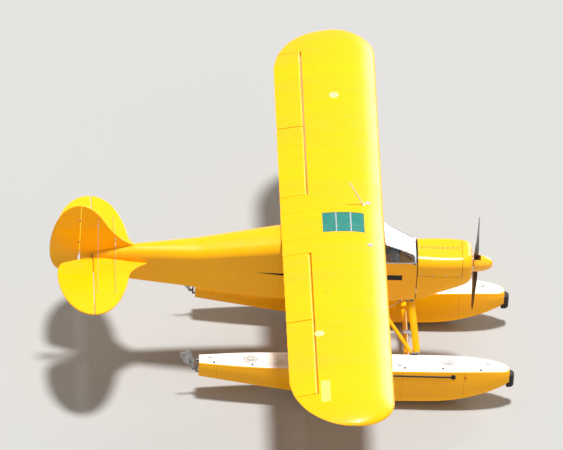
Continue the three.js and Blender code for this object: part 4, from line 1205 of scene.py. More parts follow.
def shield_sheet(name, x0, x1, outer, inner, foot, pieces=26):
    """A bent sheet between two distances from the windshield's drawn surface."""
    rings = []
    for x in steps(x0, x1, pieces):
        ring = shield_arch(x, outer, foot) + shield_arch(x, inner, foot)[::-1]
        rings.append([(x, y, z) for y, z in ring])
    return skin(name, rings)


shield = shield_sheet("windshield_sheet", 1.3675, 2.058, 0.0, -0.003, SILL_Z + FIT)
carve(shield, block("under_wing_cutter", (1.2, -0.34, 2.0), (1.366, 0.34, 2.338)))
dress(shield, shield_glass, replaces="windshield", angle=40)
strips, heads = [], []
for side in (-1, 1):
    rings = []
    for x in steps(1.37, 2.064, 12):
        w = between(SHIELD, x, smooth=True)[0] + 0.0003
        ring = ((w, -0.004), (w + 0.0022, -0.004), (w + 0.0018, 0.018), (w, 0.018))
        rings.append([(x, side * y, SILL_Z + z) for y, z in ring])
    strips.append(skin("foot_strip", rings))
strips.append(shield_sheet("front_strip", 2.040, 2.064, 0.0020, 0.0003, STRIP_FOOT, 3))
posts = shield_sheet("post_strip", 1.3655, 1.388, 0.0018, 0.0003, STRIP_FOOT, 2)
strips.append(carve(posts, block("under_wing_cutter", (1.2, -0.30, 2.0), (1.40, 0.30, 2.40))))
for x in steps(1.42, 2.03, 10):
    w = between(SHIELD, x, smooth=True)[0] + 0.0022
    heads += [((x, side * w, SILL_Z + 0.007), (0, side, 0)) for side in (-1, 1)]
dress(joined("windshield_strips", [*strips, screws("foot_screws", heads)]), bare_aluminium)


def tube(name, points, radius, bend=0.0, sides=14, fore=None):
    """A round tube or wire along a path, with its bends rounded."""
    path = [Vector(p) for p in points]
    if bend:
        corners = zip(path, path[1:], path[2:])
        path = [path[0], *[p for corner in corners for p in eased(*corner, bend, 6)], path[-1]]
    return swept(name, path, circle(radius, sides), fore or (path[-1] - path[0]).normalized().orthogonal())


vee = []
for side in (-1, 1):
    vee.append(tube("brace", ((1.545, side * 0.055, 2.320), (2.045, side * 0.285, 2.050)), 0.0095))
    vee.append(tube("post", ((1.372, side * 0.345, 2.335), (1.60, side * 0.338, 2.045)), 0.011))
dress(joined("windshield_braces", vee), dull_steel)

# Cowl: pressed aluminium round the engine, in enamel. Two doors hinge on a strip along the top.
# The lower cowl is one pan with the cooling outlet and the exhaust pipe through its bottom.
COWL = {"back": 2.092, "front": 2.790, "face": 2.948, "split": 1.800, "hinge": 0.017, "skin": 0.003}
THRUST_Z = 1.830
EXHAUST_TOP, EXHAUST_END = Vector((2.400, 0.060, 1.610)), Vector((2.240, 0.060, 1.300))
cowl_enamel = sheet_finish("cowl_enamel", 2.105, 0.673, blur=0.2)
pan = hull_shell("cowl_lower_pan", COWL["back"], COWL["front"] - FIT, COWL["skin"], smooth=True, pieces=20)
upper = twin(pan, "cowl_upper")
carve(pan, block("lower_keeper", (1, -1, 0), (4, 1, COWL["split"])), "INTERSECT")
carve(pan, tube("exhaust_cutter", (EXHAUST_TOP, EXHAUST_END), 0.060, sides=28))
carve(pan, block("outlet_cutter", (2.0, -0.17, 1.2), (2.19, 0.17, 1.42)))
lip = ((2.188, 1.4185), (2.150, 1.382), (2.110, 1.360), (2.110, 1.3575), (2.152, 1.379), (2.192, 1.4160))
pan = joined("cowl_lower_pan", [pan, side_plate("outlet_lip", lip, -0.168, 0.168)])
dress(pan, cowl_enamel, replaces="cowl_lower", angle=40)
for name, sign in (("cowl_door_left", 1), ("cowl_door_right", -1)):
    door = twin(upper, name + "_sheet")
    near = (COWL["back"] + 0.004, sign * (COWL["hinge"] + 0.004), COWL["split"] + 0.006)
    carve(door, block("door_keeper", near, (COWL["front"] - 0.006, sign, 3)), "INTERSECT")
    dress(door, cowl_enamel, name, name, angle=40)
    studs = []
    for x in (2.14, 2.33, 2.55, 2.74):
        w = between(SECTIONS, x, smooth=True)[0]
        studs.append(((x, sign * (w - 0.0006), COWL["split"] + 0.030), (0, sign, 0)))
    fasteners = [screws("studs", studs, radius=0.011, height=0.003)]
    for x in steps(2.12, 2.76, 8):
        fasteners.append(pin("knuckle", 0.0026, -0.018, 0.018, (x, sign * 0.0195, 2.0985), sides=10))
    dress(joined(name + "_fasteners", fasteners), bare_aluminium, name)
bpy.data.objects.remove(upper)

# Nose bowl: one spun sheet with a flat face, two round air inlets with rolled edges, and the hinge strip.
# The lower part carries the carburettor's air filter.
INLET = {"out": 0.152, "z": THRUST_Z + 0.010, "radius": 0.058}
FACE = COWL["face"]
bowl_places = steps(COWL["front"], FACE - 0.012, 12)
bowl_rings = hull_rings(bowl_places, 0, smooth=True)
for grow, ahead in ((-0.004, -0.005), (-0.010, -0.001), (-0.018, 0.0)):
    bowl_rings.append([(FACE + ahead, *point) for point in hull_ring(FACE, grow, smooth=True)])
bowl = skin("nose_bowl_sheet", bowl_rings)
inner_rings = hull_rings((COWL["front"] - 0.01, *bowl_places), -COWL["skin"], smooth=True)
inner_rings.append([(FACE - 0.003, *point) for point in hull_ring(FACE, -0.016, smooth=True)])
carve(bowl, skin("inner_cutter", inner_rings))
carve(bowl, tube("crank_cutter", ((2.90, 0, THRUST_Z), (3.0, 0, THRUST_Z)), 0.080, sides=36))
for side in (-1, 1):
    middle = (INLET["out"] * side, INLET["z"])
    carve(bowl, tube("inlet_cutter", ((2.9, *middle), (3.0, *middle)), INLET["radius"] + 0.001, sides=36))
strip_half = COWL["hinge"] - 0.005
strip_rings = []
for x in steps(COWL["back"], COWL["front"] + 0.004, 16):
    top = between(SECTIONS, x, smooth=True)[2]
    under = top - 0.004
    ring = ((strip_half, top), (-strip_half, top), (-strip_half, under), (strip_half, under))
    strip_rings.append([(x, *point) for point in ring])
bowl_parts = [bowl, skin("hinge_strip", strip_rings)]
for side in (-1, 1):
    rings = []
    for turn in steps(0, 2 * math.pi, 36):
        ring = []
        for along, radius in arc(0, INLET["radius"], 0.006, 0.005, 0, 360, 12)[:-1]:
            y = INLET["out"] * side + radius * math.cos(turn)
            ring.append((FACE - 0.001 + along, y, INLET["z"] + radius * math.sin(turn)))
        rings.append(ring)
    bowl_parts.append(skin("inlet_lip", rings, capped=False))
dress(joined("nose_bowl_sheet", bowl_parts), cowl_enamel, replaces="nose_bowl", angle=40)
heads = []
for y, z in hull_ring(2.803, 0.0005, smooth=True)[2:-2:6]:
    heads.append(((2.803, y, z), Vector((0, y, z - 1.85)).normalized()))
dress(screws("nose_bowl_screws", heads), bare_aluminium)
bars = []
for y0, y1, z0, z1 in (
    (-0.085, 0.085, 1.700, 1.707),
    (-0.085, 0.085, 1.741, 1.748),
    (-0.085, -0.078, 1.700, 1.748),
    (0.078, 0.085, 1.700, 1.748),
):
    bars.append(block("bar", (2.930, y0, z0), (2.9515, y1, z1), 0.0015))
dress(joined("air_filter_frame", bars), bare_aluminium)


def spotted(name, slot, tones, spots, share, rough, depth, grain=None, **steady):
    """A finish that goes over to its second tone in spots, and is duller or glossier there. Spots and
    grain are noise, by scale, detail and roughness, and share and rough are ramps of the spots. The
    spots are the grain too if none is given."""
    made, tree, place = finish(name, slot, **steady)
    patch = noise(tree, place, *spots)
    tone = mixed(tree, ramp(tree, patch, *share), *tones)
    height = noise(tree, place, *grain) if grain else patch
    return surface(made, tone, ramp(tree, patch, *rough), height, depth)


black_rubber = spotted(
    "black_rubber", "black_rubber", (colour(26, 26, 27), colour(78, 76, 72)), (16.0, 7.0, 0.7),
    (0.48, 0.72, 0.0, 0.55), (0.3, 0.7, 0.62, 0.87), 0.0004, (600.0, 2.0), Sheen_Weight=0.1,
)
dress(block("air_filter_foam", (2.932, -0.080, 1.705), (2.9495, 0.080, 1.743), 0.003), black_rubber)

# Engine: an air-cooled flat four. The crankcase, sump and finned cylinders are castings, grey and oily.
# Plug leads and the exhaust pipes run round them.
castings = spotted(
    "castings", "castings", (colour(128, 130, 130), colour(72, 66, 58)), (9.0, 7.0, 0.7),
    (0.42, 0.62), (0.4, 0.65, 0.62, 0.35), 0.0006, (320.0, 2.0), Metallic=0.55,
)
nose = ((0, 0.080), (0.012, 0.078), (0.030, 0.056), (0.040, 0.050), (0.040, 0))
shaft = (
    (0, 0.034), (0.235, 0.034), (0.236, 0.044), (0.287, 0.044), (0.288, 0.030), (0.294, 0.030), (0.294, 0),
)
case = [
    block("crankcase", (2.20, -0.095, 1.700), (2.66, 0.095, 1.935), 0.018, 3),
    block("accessory_case", (2.125, -0.120, 1.700), (2.205, 0.120, 1.955), 0.012, 3),
    block("sump", (2.255, -0.105, 1.592), (2.555, 0.105, 1.702), 0.016, 3),
    lathe("case_nose", nose, (2.655, 0, THRUST_Z), sides=32),
    lathe("crankshaft", shaft, (2.69, 0, THRUST_Z)),
    block("parting_flange", (2.215, -0.006, 1.930), (2.64, 0.006, 1.952), 0.002),
]
magneto = ((0, 0.042), (0.05, 0.042), (0.058, 0.036), (0.058, 0))
case += [lathe("magneto", magneto, (2.14, side * 0.12, 1.86), (0, side, 0)) for side in (-1, 1)]
barrel = [(0, 0.052)]
for fin in steps(0.012, 0.162, 12):
    barrel += [(fin, 0.046), (fin, 0.0595), (fin + 0.003, 0.0595), (fin + 0.003, 0.046)]
barrel += [(0.178, 0.050), (0.205, 0.048), (0.205, 0)]
for side in (-1, 1):
    for x in (2.325 + 0.018 * side, 2.515 + 0.018 * side):
        case.append(lathe("cylinder", barrel, (x, side * 0.09, 1.820), (0, side, 0), 28))
        near, far = (x - 0.056, side * 0.288, 1.768), (x + 0.056, side * 0.3195, 1.872)
        case.append(block("rocker_cover", near, far, 0.010, 3))
dress(joined("engine_castings", case), castings, replaces="engine_block", angle=40)
# Exhaust pipes, browned and blued by heat
heated_steel = spotted(
    "heated_steel", "steel", (colour(132, 104, 84), colour(86, 82, 92)), (14.0, 5.0),
    (0.4, 0.6), (0.35, 0.65, 0.35, 0.6), 0.0004, Metallic=1.0,
)
stack = tube("stack", (EXHAUST_TOP, EXHAUST_END), 0.032, sides=24)
bore = [EXHAUST_TOP.lerp(EXHAUST_END, share) for share in (0.6, 1.2)]
pipes = [carve(stack, tube("bore_cutter", bore, 0.029, sides=24))]
leads, mounts = [], []
for side in (-1, 1):
    for x in (2.345, 2.495):
        port = [(x, side * 0.245, 1.770), (x, side * 0.235, 1.715)]
        port += [(2.42, side * 0.15, 1.655), (2.41, 0.055, 1.625)]
        pipes.append(tube("header", port, 0.019, bend=0.035, fore=(1, 0, 0)))
    for x in (2.325, 2.515):
        outwards = ((2.16, 0.10, 1.930), (x - 0.06, 0.12, 1.946), (x, 0.20, 1.925), (x, 0.255, 1.868))
        lead = [(along, side * out, up) for along, out, up in outwards]
        leads.append(tube("plug_lead", lead, 0.0045, bend=0.03, sides=8, fore=(0, 0, 1)))
    for z, front_z in ((1.955, 1.90), (1.50, 1.71)):
        mounts.append(tube("engine_mount", ((2.088, side * 0.26, z), (2.205, side * 0.105, front_z)), 0.011))
dress(joined("exhaust_pipes", pipes), heated_steel, angle=40)
dress(joined("ignition_leads", leads), black_rubber)
dress(joined("engine_mount", mounts), dull_steel)

# Propeller: two blades and hub in one piece, painted dark brown, with a metal edge let into each outer half.
# The spinner over it is spun aluminium in the same yellow.
PROPELLER = {"x": 3.010, "radius": 0.940, "turned": math.radians(6)}
# Radius, chord, thickness and pitch
BLADE = (
    (0.030, 0.066, 0.050, 54),
    (0.160, 0.112, 0.034, 42),
    (0.350, 0.140, 0.020, 29),
    (0.600, 0.130, 0.0125, 19),
    (0.850, 0.100, 0.0085, 14),
    (0.925, 0.066, 0.0065, 13),
    (0.940, 0.024, 0.004, 13),
)


def blade_section(radius, grow=0.0, back=1.0, pieces=14):
    """A cambered blade section at a radius, from the leading edge to a share of its chord."""
    chord, thick, pitch = between(BLADE, radius, smooth=True)
    top, under = [], []
    for t in steps(0, back, pieces):
        bulge = (4 * t * (1 - t)) ** 0.6
        top.append((chord * (t - 0.5), thick * 0.5 * bulge + grow))
        under.append((chord * (t - 0.5), -thick * 0.42 * bulge - grow))
    across, along = math.cos(math.radians(pitch)), math.sin(math.radians(pitch))
    points = []
    for u, v in top + under[::-1]:
        points.append((PROPELLER["x"] + u * along - v * across, u * across + v * along, radius))
    return points


def on_shaft(name, parts):
    """Joins parts drawn about the origin and turns them to where the propeller stands."""
    piece = joined(name, parts)
    piece.data.transform(Matrix.Translation((0, 0, THRUST_Z)) @ Matrix.Rotation(PROPELLER["turned"], 4, "X"))
    return piece


def opposite(piece):
    """The same piece half a turn further round the shaft."""
    copy = twin(piece, piece.name)
    copy.data.transform(Matrix.Rotation(math.pi, 4, "X"))
    return copy


# Dark brown enamel, thin and scuffed along the edges
blade_paint, tree, place = finish("blade_paint", "blade_paint", Coat_Weight=0.3, Coat_Roughness=0.15)
scuff = noise(tree, place, 22.0, 8.0, 0.75)
tone = mixed(tree, ramp(tree, scuff, 0.3, 0.62), colour(46, 32, 24), colour(64, 44, 32))
tone = mixed(tree, use(tree, chips, Place=place, Scale=26.0, Worn=0.1)["Bare"], tone, colour(120, 108, 96))
ripple = use(tree, film, Place=place, Scale=220.0)["Height"]
surface(blade_paint, tone, ramp(tree, scuff, 0.3, 0.7, 0.3, 0.55), ripple, 0.0003)
blade = skin("blade", [blade_section(r) for r in (*steps(0.03, 0.9, 36), 0.915, 0.925, 0.932, 0.937, 0.940)])
hub_profile = ((-0.020, 0), (-0.020, 0.068), (-0.016, 0.070), (0.036, 0.070), (0.040, 0.066), (0.040, 0))
hub = lathe("hub", hub_profile, (PROPELLER["x"], 0, 0), sides=36)
blades = on_shaft("propeller_blades", [blade, opposite(blade), hub])
dress(blades, blade_paint, "propeller", "propeller", angle=40)
edge = skin("edge", [blade_section(r, 0.0007, 0.10, 4) for r in steps(0.46, 0.925, 20)])
bolts = [((PROPELLER["x"] + 0.040, y, z), (1, 0, 0)) for y, z in circle(0.05, 6)]
metal = on_shaft("propeller_metal", [edge, opposite(edge), screws("hub_bolts", bolts, 0.009, 0.008)])
dress(metal, bare_aluminium, "propeller", angle=40)
SPINNER = {"back": 2.968, "tip": 3.275, "radius": 0.135, "slot": 0.062, "slot_front": 3.082, "skin": 0.003}
back, tip, skin_thick = SPINNER["back"], SPINNER["tip"], SPINNER["skin"]
shell, bore = [(back, 0)], []
for angle in steps(0, math.pi / 2, 26):
    along, radius = back + (tip - back) * math.sin(angle), SPINNER["radius"] * max(math.cos(angle), 0) ** 0.8
    shell.append((along, radius))
    bore.append((min(along, tip - skin_thick), max(radius - skin_thick, 0)))
bore = [(back - 0.01, 0), (back - 0.01, bore[0][1]), *bore]
spinner = carve(lathe("spinner_shell", shell, sides=48), lathe("inner_cutter", bore, sides=48))
slot_end = (SPINNER["slot_front"], SPINNER["slot"], 0.3)
carve(spinner, block("slot_cutter", (2.90, -SPINNER["slot"], -0.3), slot_end))
spinner_enamel = sheet_finish("spinner_enamel", 2.973, 0.8, lacquer=1.0, blur=0.12)
spinner = on_shaft("spinner_shell", [spinner, pin("back_plate", 0.1315, back, back + skin_thick, sides=48)])
dress(spinner, spinner_enamel, "propeller", "spinner", angle=40)
heads = []
for y, z in circle(1, 16):
    if abs(y) > 0.55:
        heads.append(((back + 0.012, 0.1347 * y, 0.1347 * z), (0, y, z)))
dress(on_shaft("spinner_screws", [screws("spinner_screws", heads)]), bare_aluminium, "propeller")

# Lift struts: streamlined steel tubes in enamel, from the lower longeron to the two spars, with forked ends.
# Light jury struts hold them halfway up to the wing.
def streamlined(chord, thick, pieces=20):
    """The section of a streamlined tube, blunt ahead and fine behind, inside its chord and thickness."""
    points = []
    for u, v in circle(1, pieces):
        points.append((chord / 2 * u, thick / 2 * v * (1 if u > 0 else 1 - 0.35 * u**2)))
    return points


# Yellow enamel on steel tube, chipped at its ends and edges
enamel = {"Specular_IOR_Level": 0.25, "Coat_Weight": 0.2, "Coat_Roughness": 0.12}
tube_enamel, tree, place = finish("tube_enamel", "painted_steel", **enamel)
worn = use(tree, weather, Place=place, Scale=2.6)
tone = mixed(tree, worn["Tone"], YELLOW, YELLOW_AGED, 0.5)
tone = mixed(tree, use(tree, chips, Place=place, Scale=24.0, Worn=0.16)["Bare"], tone, colour(96, 84, 70))
ripple = use(tree, film, Place=place, Scale=200.0)["Height"]
surface(tube_enamel, tone, ramp(tree, worn["Dust"], 0, 1, 0.28, 0.45), ripple, 0.0004)


def strap(name, start, end, wide, thick, fore=(1, 0, 0)):
    """A flat steel fitting between two points, wide towards fore, with softened edges."""
    u, v = wide / 2, thick / 2
    c = min(v * 0.7, 0.003)
    half = [(u, v - c), (u - c, v), (c - u, v), (-u, v - c)]
    return swept(name, (start, end), half + [(-x, -y) for x, y in half], fore)


def bolt(point, direction, radius=0.008, length=0.030):
    """A bolt with a hexagon head at one end and its nut at the other."""
    parts = [pin("bolt", radius * 0.6, -length / 2, length / 2, point, direction, 10)]
    for end in (-1, 1):
        head = Vector(point) + Vector(direction).normalized() * end * length / 2
        parts.append(pin("bolt_head", radius, 0, radius * 0.8 * end, head, direction, 6))
    return parts


def strut(name, start, end, chord, thick, shares, sizes, least):
    """A streamlined tube at shares of the way from one point to another, drawn in towards its ends to a least
    share of its thickness."""
    sections = [streamlined(chord * size, thick * (least + (1 - least) * size)) for size in sizes]
    return swept(name, [start.lerp(end, share) for share in shares], sections)


def fork(start, end, near, far, bolt_at, across, apart, wide, radius, length):
    """The two lugs of a strut's forked end, between two shares of the way along it, and their bolt."""
    across = Vector(across)
    lugs = []
    for shift in (across * -apart, across * apart):
        lugs.append(strap("lug", start.lerp(end, near) + shift, start.lerp(end, far) + shift, wide, 0.005))
    return lugs + bolt(start.lerp(end, bolt_at), across, radius, length)


def under_wing(x, y):
    """A point on the wing's lower skin, at a place drawn before the dihedral."""
    lead, trail = wing_edges(y)
    return turn_up @ Vector((x, y, wing_height((lead - x) / (lead - trail), -1, lead - trail, hollow(y))))


strut_lines = []
# Fore and aft place at the longeron and at the wing, distance out, chord and thickness
for name, low_x, high_x, out, chord, thick in (
    ("lift_strut_front_left", 1.620, 1.270, 2.560, 0.076, 0.034),
    ("lift_strut_rear_left", 1.532, 0.445, 2.500, 0.060, 0.030),
):
    foot, head = Vector((low_x, 0.350, 1.325)), Vector((high_x, out, 2.420))
    strut_lines.append((foot, head))
    shares, sizes = (0.018, 0.030, 0.045, 0.930, 0.945, 0.955), (0.45, 0.8, 1.0, 1.0, 0.8, 0.45)
    leg = strut(name + "_tube", foot, head, chord, thick, shares, sizes, 0.5)
    both_sides(leg, tube_enamel, replaces=name, angle=40)
    fittings = []
    for near, far, bolt_at in ((0.004, 0.030, 0.012), (0.945, 0.972, 0.962)):
        fittings += fork(foot, head, near, far, bolt_at, (0, -0.4, 0.9), 0.009, 0.034, 0.0085, 0.034)
    both_sides(joined(name + "_fittings", fittings), dull_steel)
jury = []
knots = [low.lerp(high, 0.56) for low, high in strut_lines]
for knot, spar_x in zip(knots, (1.300, 0.470)):
    top = under_wing(spar_x, knot.y + 0.02)
    jury.append(swept("jury_strut", (knot, top + Vector((0, 0, 0.004))), streamlined(0.024, 0.012, 14)))
    ends = [top + Vector((x, 0, -0.001)) for x in (-0.02, 0.02)]
    jury.append(strap("jury_foot", *ends, 0.03, 0.004, (0, 1, 0)))
jury.append(swept("jury_tie", knots, streamlined(0.022, 0.012, 14), (0, 0, 1)))
tie = (knots[1], under_wing(1.300, knots[0].y + 0.02))
jury.append(swept("jury_tie", tie, streamlined(0.020, 0.010, 12), (0, 0, 1)))
for knot, (low, high) in zip(knots, strut_lines):
    along = (high - low).normalized() * 0.016
    jury.append(swept("jury_clamp", (knot - along, knot + along), streamlined(0.083, 0.041)))
both_sides(joined("jury_struts_left", jury), tube_enamel, angle=40)

# Float gear: streamlined struts from the lower longerons down to the decks, and two spreader bars between the
# floats. Crossed wires with turnbuckles keep it square.
DECK_Z = 0.640
FRONT_STRUT = (Vector((2.022, 0.330, 1.345)), Vector((2.145, 0.865, 0.600)))
FRONT_BRACE = (Vector((1.470, 0.345, 1.312)), Vector((2.115, 0.868, 0.600)))
REAR_STRUT = (Vector((0.300, 0.335, 1.330)), Vector((0.240, 0.865, 0.600)))
for name, rows in (
    ("float_strut_front_left", ((*FRONT_STRUT, 0.110, 0.042), (*FRONT_BRACE, 0.056, 0.030))),
    ("float_strut_rear_left", ((*REAR_STRUT, 0.090, 0.040),)),
):
    legs, lugs = [], []
    for top, foot, chord, thick in rows:
        shares, sizes = (0.035, 0.055, 0.075, 0.875, 0.905, 0.930), (0.45, 0.82, 1.0, 1.0, 0.82, 0.5)
        legs.append(strut("leg", top, foot, chord, thick, shares, sizes, 0.4))
        for near, far, bolt_at in ((0.005, 0.06, 0.030), (0.90, 0.945, 0.935)):
            lugs += fork(top, foot, near, far, bolt_at, (0, 0.8, 0.57), 0.010, 0.042, 0.009, 0.038)
        x, y, _ = top.lerp(foot, 0.945)
        lugs.append(block("deck_pad", (-0.06, 0.812, 0.006), (0.06, 0.875, 0.013), 0.003, at=(x, 0, DECK_Z)))
        lug = (-0.022, -0.006, 0.010), (0.022, 0.006, 0.060)
        lugs.append(block("deck_lug", *lug, 0.003, at=(x, y, DECK_Z)))
    both_sides(joined(name + "_legs", legs), tube_enamel, replaces=name, angle=40)
    both_sides(joined(name + "_fittings", lugs), dull_steel)
for name, x in (("spreader_front", 1.990), ("spreader_rear", 0.240)):
    path = [(x, y, 0.530) for y in (-0.812, -0.79, 0.79, 0.812)]
    bar = swept(name + "_bar", path, streamlined(0.080, 0.036))
    dress(bar, tube_enamel, replaces=name, angle=40)
    pads = []
    for side in (-1, 1):
        pads.append(block("pad", (x - 0.062, side * 0.790, 0.497), (x + 0.062, side * 0.826, 0.563), 0.006))
        for dx, z in ((-0.048, 0.508), (-0.048, 0.552), (0.048, 0.508), (0.048, 0.552)):
            nut = ((0, 0), (0, 0.007), (0.006, 0.007), (0.006, 0))
            pads.append(lathe("nut", nut, (x + dx, side * 0.790, z), (0, -side, 0), 6))
    dress(joined(name + "_pads", pads), dull_steel)


def wire(start, end, radius=0.0028, buckle=0.12):
    """A stainless rigging wire with an eye fork at each end and a turnbuckle near the first."""
    start, end = Vector(start), Vector(end)
    along = (end - start).normalized()
    barrel = ((0, 0), (0, 0.003), (0.006, 0.006), (0.065, 0.006), (0.071, 0.003), (0.071, 0))
    eye = ((0, 0), (0, 0.0065), (0.018, 0.0065), (0.028, 0.004), (0.028, 0))
    return [
        tube("wire", (start, end), radius, sides=8),
        lathe("turnbuckle", barrel, start + along * buckle, along, 10),
        lathe("eye", eye, start, along, 10),
        lathe("eye", eye, end, -along, 10),
    ]


braces = []
for side in (-1, 1):
    for start, end in (
        ((2.055, side * 0.350, 1.300), (2.118, -side * 0.838, 0.668)),
        ((0.290, side * 0.352, 1.295), (0.250, -side * 0.838, 0.668)),
        ((1.975, side * 0.790, 0.535), (0.265, -side * 0.790, 0.535)),
    ):
        braces += wire(start, end)
bright_wire = metal_finish("rigging_wire", "steel", colour(190, 192, 196), colour(150, 150, 152), 0.25)
dress(joined("float_brace_wires", braces), bright_wire)

# Float bow bumpers: solid blocks of moulded rubber on the tip of each bow.
# Two grooves round each one take its straps.
BUMPER = {"back": 3.530, "front": 3.650, "half": 0.088}


def bumper_outline(inset):
    """The bumper seen from above, as (x, y) points."""
    half, front, shoulder = BUMPER["half"] - inset, BUMPER["front"] - inset, BUMPER["front"] - 0.060
    rows = (
        ((BUMPER["back"], -half),),
        ((shoulder, -half),),
        ((front, -half * 0.75), (front, 0.0)),
        ((front, half * 0.75), (shoulder, half)),
        ((BUMPER["back"], half),),
    )
    return [(p.x, FLOAT_Y + p.y) for p in drawn_outline(rows, 8)]


# Heights, each with how far the block is drawn in there
rings = []
for z, inset in (
    (0.300, 0.016), (0.303, 0.006), (0.312, 0.001), (0.33, 0.0), (0.36, 0.0), (0.365, 0.004), (0.372, 0.004),
    (0.377, 0.0), (0.443, 0.0), (0.448, 0.004), (0.455, 0.004), (0.46, 0.0), (0.49, 0.0), (0.508, 0.001),
    (0.517, 0.006), (0.520, 0.016),
):
    rings.append([(x, y, z) for x, y in bumper_outline(inset)])
both_sides(skin("bumper_left_block", rings), black_rubber, replaces="bumper_left", angle=35)

# Water rudders: a sheet blade on a steering post at each stern, swung up behind it when out of the water.
# The post turns in two lugs on the stern and has a cross arm for the steering cables.
POST_X, PIVOT = -1.283, Vector((-1.335, FLOAT_Y, 0.432))
ARM_X = POST_X - 0.004
REST_TURN = math.radians(62)
lugs = [block("stern_lug", (-1.297, 1.040, z), (-1.225, 1.080, z + 0.010), 0.003) for z in (0.373, 0.602)]
both_sides(joined("stern_lugs_left", lugs), dull_steel, slot="painted_aluminium")
post = [pin("post", 0.012, 0, 0.215, (POST_X, FLOAT_Y, 0.385), (0, 0, 1), 20)]
for low, high in ((1.067, 1.074), (1.046, 1.053)):
    post.append(block("cheek", (PIVOT.x - 0.018, low, 0.414), (POST_X, high, 0.450), 0.0025))
post.append(block("post_block", (POST_X - 0.014, 1.046, 0.414), (POST_X, 1.074, 0.450), 0.002))
post += bolt(PIVOT, (0, 1, 0), 0.007, 0.030)
post.append(strap("arm", *[(ARM_X, FLOAT_Y + y, 0.575) for y in (-0.065, 0.065)], 0.020, 0.005))
for y in (-0.055, 0.055):
    post.append(pin("pin", 0.005, 0, 0.014, (ARM_X, FLOAT_Y + y, 0.568), (0, 0, 1), 10))
post = joined("water_rudder_left_post", post)
both_sides(post, dull_steel, "water_rudder_post_left", "water_rudder_post_left")
# The blade's outline about its pivot, pointing aft when it is down
BLADE_OUTLINE = (
    ((-0.016, -0.014),),
    ((0.060, -0.020), (0.120, -0.082)),
    ((0.300, -0.100),),
    ((0.350, -0.095), (0.350, -0.050)),
    ((0.350, 0.050),),
    ((0.350, 0.078), (0.320, 0.080)),
    ((0.170, 0.076),),
    ((0.110, 0.030), (-0.016, 0.014)),
)
outline = [tuple(p) for p in drawn_outline(BLADE_OUTLINE, 8)]
rings = []
for y, inset in ((-0.005, 0.0015), (-0.0035, 0), (0.0035, 0), (0.005, 0.0015)):
    rings.append([(x, y, z) for x, z in grown(outline, -inset)])
parts = [skin("blade", rings)]
for z0, z1 in ((-0.004, -0.070), (0.010, 0.045), (-0.002, -0.012)):
    for y in (-0.0042, 0.0042):
        bead = arc(0, 0, 0.0045, 0.003, 0, 360, 10)[:-1]
        parts.append(swept("bead", ((0.10, y, z0), (0.325, y, z1)), bead, (0, 0, 1)))
water_blade = joined("water_rudder_left_blade", parts)
water_blade.data.transform(Matrix.Translation(PIVOT) @ Matrix.Rotation(math.pi + REST_TURN, 4, "Y"))
rudder_plate = metal_finish("water_rudder_plate", "steel", colour(190, 192, 194), colour(140, 142, 142), 0.4)
both_sides(water_blade, rudder_plate, "water_rudder_blade_left", "water_rudder_blade_left")


# Antenna: a white glass fibre whip on a moulded foot, screwed to the top of the left wing root.
# The whip leans aft, and a ferrule holds it in its foot.
def plastic_finish(name, slot, tone, aged, roughness=0.35):
    """Moulded or lacquered plastic, a little chalky."""
    rough = (0.35, 0.65, roughness, roughness + 0.2)
    return spotted(name, slot, (tone, aged), (30.0, 6.0, 0.7), (0.4, 0.65), rough, 0.0003, Coat_Weight=0.2)


white_plastic = plastic_finish("white_plastic", "white_plastic", colour(232, 232, 228), colour(206, 206, 198))
foot = Vector((1.245, 0.500, 2.512))
lean = Vector((1.010, 0.500, 2.925)) - foot
whip = ((0, 0), (0, 0.012), (0.10, 0.0115), (0.40, 0.010), (0.470, 0.0095), (0.476, 0))
base = ((0, 0), (0, 0.030), (0.012, 0.029), (0.021, 0.023), (0.026, 0.015), (0.026, 0))
ferrule = ((0.02, 0), (0.02, 0.0150), (0.06, 0.0140), (0.064, 0))
whip_parts = [lathe("whip", whip, foot, lean, 16), lathe("whip_foot", base, foot, (0, 0, 1))]
whip_parts.append(lathe("whip_ferrule", ferrule, foot, lean, 18))
dress(joined("antenna_whip", whip_parts), white_plastic, replaces="antenna", angle=40)

# Instrument panel: a black sheet with a folded rim and a padded shade, fixed across the boot cowl.
# It carries one row of round gauges, with knobs and switches below.
PANEL = {"x": 1.795, "front": 1.807, "half": 0.325, "bottom": 1.850, "top": 2.022}
GAUGE_X = PANEL["x"] + 0.009
panel_black = plastic_finish("panel_paint", "panel_paint", colour(34, 34, 36), colour(56, 56, 56), 0.5)
outline = rounded(-PANEL["half"], PANEL["half"], PANEL["bottom"], PANEL["top"], 0.020)
sheets = []
for inset, back, front in (
    (0, GAUGE_X, PANEL["front"]),
    (0, PANEL["x"], GAUGE_X + 0.0005),
    (-0.004, 1.7, 1.9),
):
    edges = grown(outline, inset) if inset else outline
    sheets.append(skin("panel_sheet", [[(x, *point) for point in edges] for x in (back, front)]))
plate, flange, cutter = sheets
shade = block("shade", (1.680, -0.300, 2.022), (1.800, 0.300, 2.034), 0.0055, 3)
panel = joined("instrument_panel_sheet", [plate, carve(flange, cutter), shade])
dress(panel, panel_black, replaces="instrument_panel", angle=40)


def pointer(y, z, radius, degrees, near, far, wide, thick, ahead):
    """A flat mark on a gauge's face, between two shares of its radius."""
    out = Vector((0, math.cos(math.radians(degrees)), math.sin(math.radians(degrees))))
    middle = Vector((GAUGE_X - ahead, y, z))
    ends = [middle + out * radius * share for share in (near, far)]
    return strap("mark", *ends, wide, thick, out.cross(Vector((1, 0, 0))))


